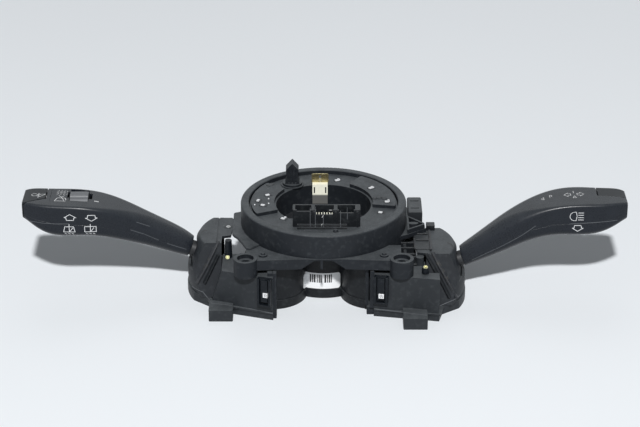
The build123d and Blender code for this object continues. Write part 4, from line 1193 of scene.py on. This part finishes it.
@dataclass(frozen=True)
class Symbols:
    """Outline symbols in millimetres about their middle; general road-vehicle signs for wipers and lamps."""

    line: float = 0.42

    def path(self, *points: Point, closed: bool = False) -> Stroke:
        """Return one line of the symbols' usual width."""
        return Stroke(points, self.line, closed)

    def arrow(self, up: bool, width: float = 8.0) -> list[Stroke]:
        """House-shaped outline arrow.

        Args:
            up: Whether it points up.
            width: Its width.

        Returns:
            Its lines.
        """
        sign = 1 if up else -1
        half = width / 2
        right = ((half, -0.1 * sign), (0.7 * half, -0.1 * sign), (0.6 * half, -2.1 * sign))
        left = ((-x, y) for x, y in reversed(right))
        return [self.path((0, 2.3 * sign), *right, *left, closed=True)]

    def windscreen(self, rear: bool) -> list[Stroke]:
        """Windscreen with its wiper and drops below; a rear one is square.

        Args:
            rear: Whether it is the rear one.

        Returns:
            Its lines.
        """
        spread = 0.0 if rear else 0.9
        marks = [
            self.path((-3.9, -1.6), (-3.9 + spread, 2.3), (3.9 - spread, 2.3), (3.9, -1.6), closed=True),
            self.path((0, 4.0), (0, -1.6)),
            self.path((0.4, -1.2), (2.4, 1.4)),
        ]
        return marks + [self.path((x - 0.6, -2.9), (x + 0.6, -3.6)) for x in (-2.4, 0.0, 2.4)]

    def rain(self) -> list[Stroke]:
        """Windscreen with its wiper and slanting rain above.

        Returns:
            Its lines.
        """
        marks = [
            Stroke(((-4.2, -5.4), (-2.7, -0.4), (2.7, -0.4), (4.2, -5.4)), 0.55, True),
            Stroke(((-1.8, 3.2), (0.0, 1.0), (1.8, 3.2)), 0.5),
            self.path((0.0, 1.0), (2.2, -4.4)),
        ]
        drops = [(x, 2.4 * row) for row in range(3) for x in (-3.0, -0.8, 1.4, 3.6)]
        return marks + [self.path((x - 0.6, 5.4 + y), (x + 0.6, 6.6 + y)) for x, y in drops]

    def washer(self) -> list[Stroke]:
        """Reservoir with a jet to both sides.

        Returns:
            Its lines.
        """
        return [
            self.path(*arc((-3.0, 0.4), 1.9, 40, 320)),
            self.path((-1.8, 2.0), (0.8, -2.2), (4.6, 2.4), (1.2, 1.8), (-1.4, -1.2)),
            self.path((-0.2, 3.2), (-0.2, -3.8)),
        ]

    def high_beam(self) -> list[Stroke]:
        """Lamp with level rays."""
        shell = ((-1.4, 3.2), *arc((-1.4, 0), 3.2, 90, 270, 10), (-0.4, -3.2), (0.2, 0), (-0.4, 3.2))
        return [self.path(*shell, closed=True)] + [self.path((1.2, y), (4.6, y)) for y in (-2.6, -0.9, 0.9, 2.6)]

    def four_way(self) -> list[Stroke]:
        """Outline arrows to both sides with short marks up and down between them.

        Returns:
            Its lines.
        """
        head = ((6.8, 0), (4.2, 3.0), (4.2, 1.4), (2.2, 1.4), (2.2, -1.4), (4.2, -1.4), (4.2, -3.0))
        marks = [self.path(*((side * x, y) for x, y in head), closed=True) for side in (-1, 1)]
        return marks + [
            self.path((0, 5.4), (0, 2.4)), self.path((-1.0, -5.4), (0.2, -2.4), (1.4, -5.4), closed=True),
        ]

    def dash(self) -> list[Stroke]:
        """Short line beside the thumbwheel."""
        return [Stroke(((-1.2, 0.0), (1.2, 0.0)), 3 * self.line)]

    def double_mark(self) -> list[Stroke]:
        """Two small lamps back to back.

        Returns:
            Its lines.
        """
        return [
            self.path(*arc((2.2, 1.2), 1.5, -90, 90)), self.path((2.2, -0.8), (2.2, 3.0)),
            self.path(*arc((-2.0, -1.2), 1.5, 90, 270)), self.path((-2.0, -3.0), (-2.0, 0.8)),
        ]


@dataclass(frozen=True)
class Stalk:
    """One stalk: its shells and buttons, the printed symbols on its upper face and front, and painted highlights
    along its seams.
    """

    unit: str
    top: tuple[tuple[str, Point, tuple[object, ...]], ...]
    front: tuple[tuple[str, Point, tuple[object, ...]], ...]
    seams: Lines

    def build(self) -> None:
        """Dress the stalk and draw painted highlights along its seams and every symbol onto its shells, cap and
        button.
        """
        body, cap = f"{self.unit}_stalk", f"{self.unit}_end_button"
        SubAssembly(STALK_NODES[self.unit], body, ((cap, Finish.CAP),)).dress()
        shells = [f"{body}_upper", f"{body}_lower"]
        carriers = {"washer": (f"{self.unit}_nose", [cap]), "rain": ("rain_button", ["sensor_button"])}
        for face, board, marks in (("top", top_sheet, self.top), ("front", front_sheet, self.front)):
            for k, (kind, place, values) in enumerate(marks):
                rides, nodes = carriers.get(kind, (body, shells))
                name = f"{self.unit}_{face}_symbol_{k}"
                mesh = draw(name, getattr(Symbols(), kind)(*values), board(*place), skin_tree(nodes))
                add_piece(name, mesh, rides, Finish.PRINT)
        # painted highlight: lighter lines along the seams of the shells, standing in for light caught by them
        marks = [Stroke(seam, 0.28) for seam in self.seams]
        name = f"{self.unit}_seam_painted_highlight"
        add_piece(name, draw(name, marks, slanted_sheet(0.03), skin_tree(shells)), body, Finish.EDGE_HIGHLIGHT)


WIPER_STALK = Stalk(
    "wiper",
    top=(("washer", (-195.2, -16.6), ()), ("rain", (-179.6, -19.2), ()), ("dash", (-155.4, -21.0), ())),
    front=(
        ("arrow", (-172.6, 62.8), (True,)), ("arrow", (-158.0, 62.2), (False,)),
        ("windscreen", (-173.4, 53.6), (False,)), ("windscreen", (-159.0, 53.6), (True,)),
    ),
    seams=(
        ((-200.0, -14.3), (-190.6, -15.8), (-182.2, -16.2), (-173.2, -16.2)),
        ((-128.0, -15.1), (-119.5, -17.9)),
        ((-132.2, -20.3), (-123.0, -23.3), (-113.6, -27.4)),
        ((-107.7, -29.8), (-100.0, -32.3), (-95.1, -33.8)),
    ),
)
TURN_STALK = Stalk(
    "turn",
    top=(("four_way", (171.9, -14.0), ()), ("double_mark", (153.2, -14.4), ())),
    front=(("high_beam", (172.4, 62.9), ()), ("arrow", (173.4, 54.0), (False, 7.4))),
    seams=(
        ((168.3, -16.2), (182.2, -15.4), (192.7, -14.7), (200.3, -13.7)),
        ((102.1, -41.0), (123.0, -31.0), (134.8, -24.5), (144.6, -17.6)),
    ),
)


# ---------------------------------------------------------------- studio


@dataclass(frozen=True)
class Studio:
    """Pale floor, one near soft lamp in front, a weak one behind, and the camera."""

    aim_mm: Place = (-2.44, 0.0, 49.9)
    distance: float = 1.5
    field_mm: float = 446.0
    lamp_elevation: float = 44.0
    lamp_distance: float = 5.0
    lamp_size: float = 0.27
    lamp_power: float = 275.0
    back_elevation: float = 50.0
    back_size: float = 3.3
    back_power: float = 16.0
    ambient: float = 0.16
    backdrop: float = 0.85
    floor_half: float = 4.0
    floor: Colour = (0.82, 0.85, 0.88)

    def build(self) -> None:
        """Set up floor, lamps, world, view and camera."""
        self.build_floor()
        self.build_lamp("lamp_front", 0.0, self.lamp_elevation, self.lamp_size, self.lamp_power)
        self.build_lamp("lamp_back", 180.0, self.back_elevation, self.back_size, self.back_power)
        self.build_world()
        self.build_camera()
        bpy.context.scene.view_settings.view_transform = "Standard"

    def toward(self, azimuth: float, elevation: float, distance: float) -> Vector:
        """Return a place around the object, azimuth 0 being in front.

        Args:
            azimuth: Degrees from the front to the right.
            elevation: Degrees above the level.
            distance: Metres from what is aimed at.

        Returns:
            The place.
        """
        a, e = math.radians(azimuth), math.radians(elevation)
        away = Vector((math.sin(a) * math.cos(e), -math.cos(a) * math.cos(e), math.sin(e)))
        return Vector(self.aim_mm) * MM + away * distance

    def hang(self, name: str, data: bpy.types.ID, place: Vector) -> bpy.types.Object:
        """Put a lamp or the camera at a place, facing the object.

        Args:
            name: Its name.
            data: Its data.
            place: The place.

        Returns:
            The object.
        """
        thing = bpy.data.objects.new(name, data)
        thing.location = place
        thing.rotation_euler = (place - Vector(self.aim_mm) * MM).to_track_quat("Z", "Y").to_euler()
        bpy.context.scene.collection.objects.link(thing)
        return thing

    def build_floor(self) -> None:
        """Lay the floor under the object."""
        low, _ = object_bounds()
        mesh = bpy.data.meshes.new("floor")
        half = self.floor_half
        signs = ((-1, -1), (1, -1), (1, 1), (-1, 1))
        mesh.from_pydata([(a * half, b * half, low.z) for a, b in signs], [], [(0, 1, 2, 3)])
        floor = bpy.data.objects.new("floor", mesh)
        bpy.context.scene.collection.objects.link(floor)
        g = Graph("floor_card")
        tone = g.ramp(g.noise(600.0, 1.0), 0.2, 0.8)
        colour = g.blend(tone, self.floor, scaled(self.floor, 1.03))
        g.tree.links.new(colour, g.shader.inputs["Base Color"])
        g.shader.inputs["Roughness"].default_value = 0.9
        g.shader.inputs["Specular IOR Level"].default_value = 0.1
        floor.data.materials.append(g.material)
        floor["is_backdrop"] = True

    def build_lamp(self, name: str, azimuth: float, elevation: float, size: float, power: float) -> None:
        """Hang one round area lamp.

        Args:
            name: Its name.
            azimuth: Degrees from the front to the right.
            elevation: Degrees above the level.
            size: Its diameter in metres.
            power: Its power in watts.
        """
        data = bpy.data.lights.new(name, "AREA")
        data.shape = "DISK"
        data.size = size
        data.energy = power
        self.hang(name, data, self.toward(azimuth, elevation, self.lamp_distance))

    def build_world(self) -> None:
        """Make a world that is pale to look at and gives little light."""
        world = bpy.data.worlds.new("studio")
        world.use_nodes = True
        tree = world.node_tree
        tree.nodes.clear()
        path = node(tree, "ShaderNodeLightPath").outputs
        seen = node(tree, "ShaderNodeMath", {0: path["Is Camera Ray"], 1: path["Is Glossy Ray"]}, operation="MAXIMUM")
        feeds = {"Value": seen, "To Min": self.ambient, "To Max": self.backdrop}
        feeds = {"Color": (0.93, 0.97, 1.0, 1.0), "Strength": node(tree, "ShaderNodeMapRange", feeds)}
        node(tree, "ShaderNodeOutputWorld", {"Surface": node(tree, "ShaderNodeBackground", feeds)})
        bpy.context.scene.world = world

    def build_camera(self) -> None:
        """Put the camera in front, above the object."""
        data = bpy.data.cameras.new("camera")
        data.sensor_width = 36.0
        data.lens = data.sensor_width * self.distance / (self.field_mm * MM)
        data.clip_end = 50.0
        bpy.context.scene.camera = self.hang("camera", data, self.toward(0.0, SLOPE, self.distance))


def main() -> None:
    """Build the looks piece by piece."""
    logging.basicConfig(level=logging.INFO, format="%(message)s")
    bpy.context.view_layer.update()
    for part in (SENSOR_BODY, CLOCK_SPRING, WIPER_BLOCK, TURN_BLOCK, WIPER_STALK, TURN_STALK):
        part.build()
        LOG.info("built %s", type(part).__name__)
    Studio().build()


if __name__ == "__main__":
    main()
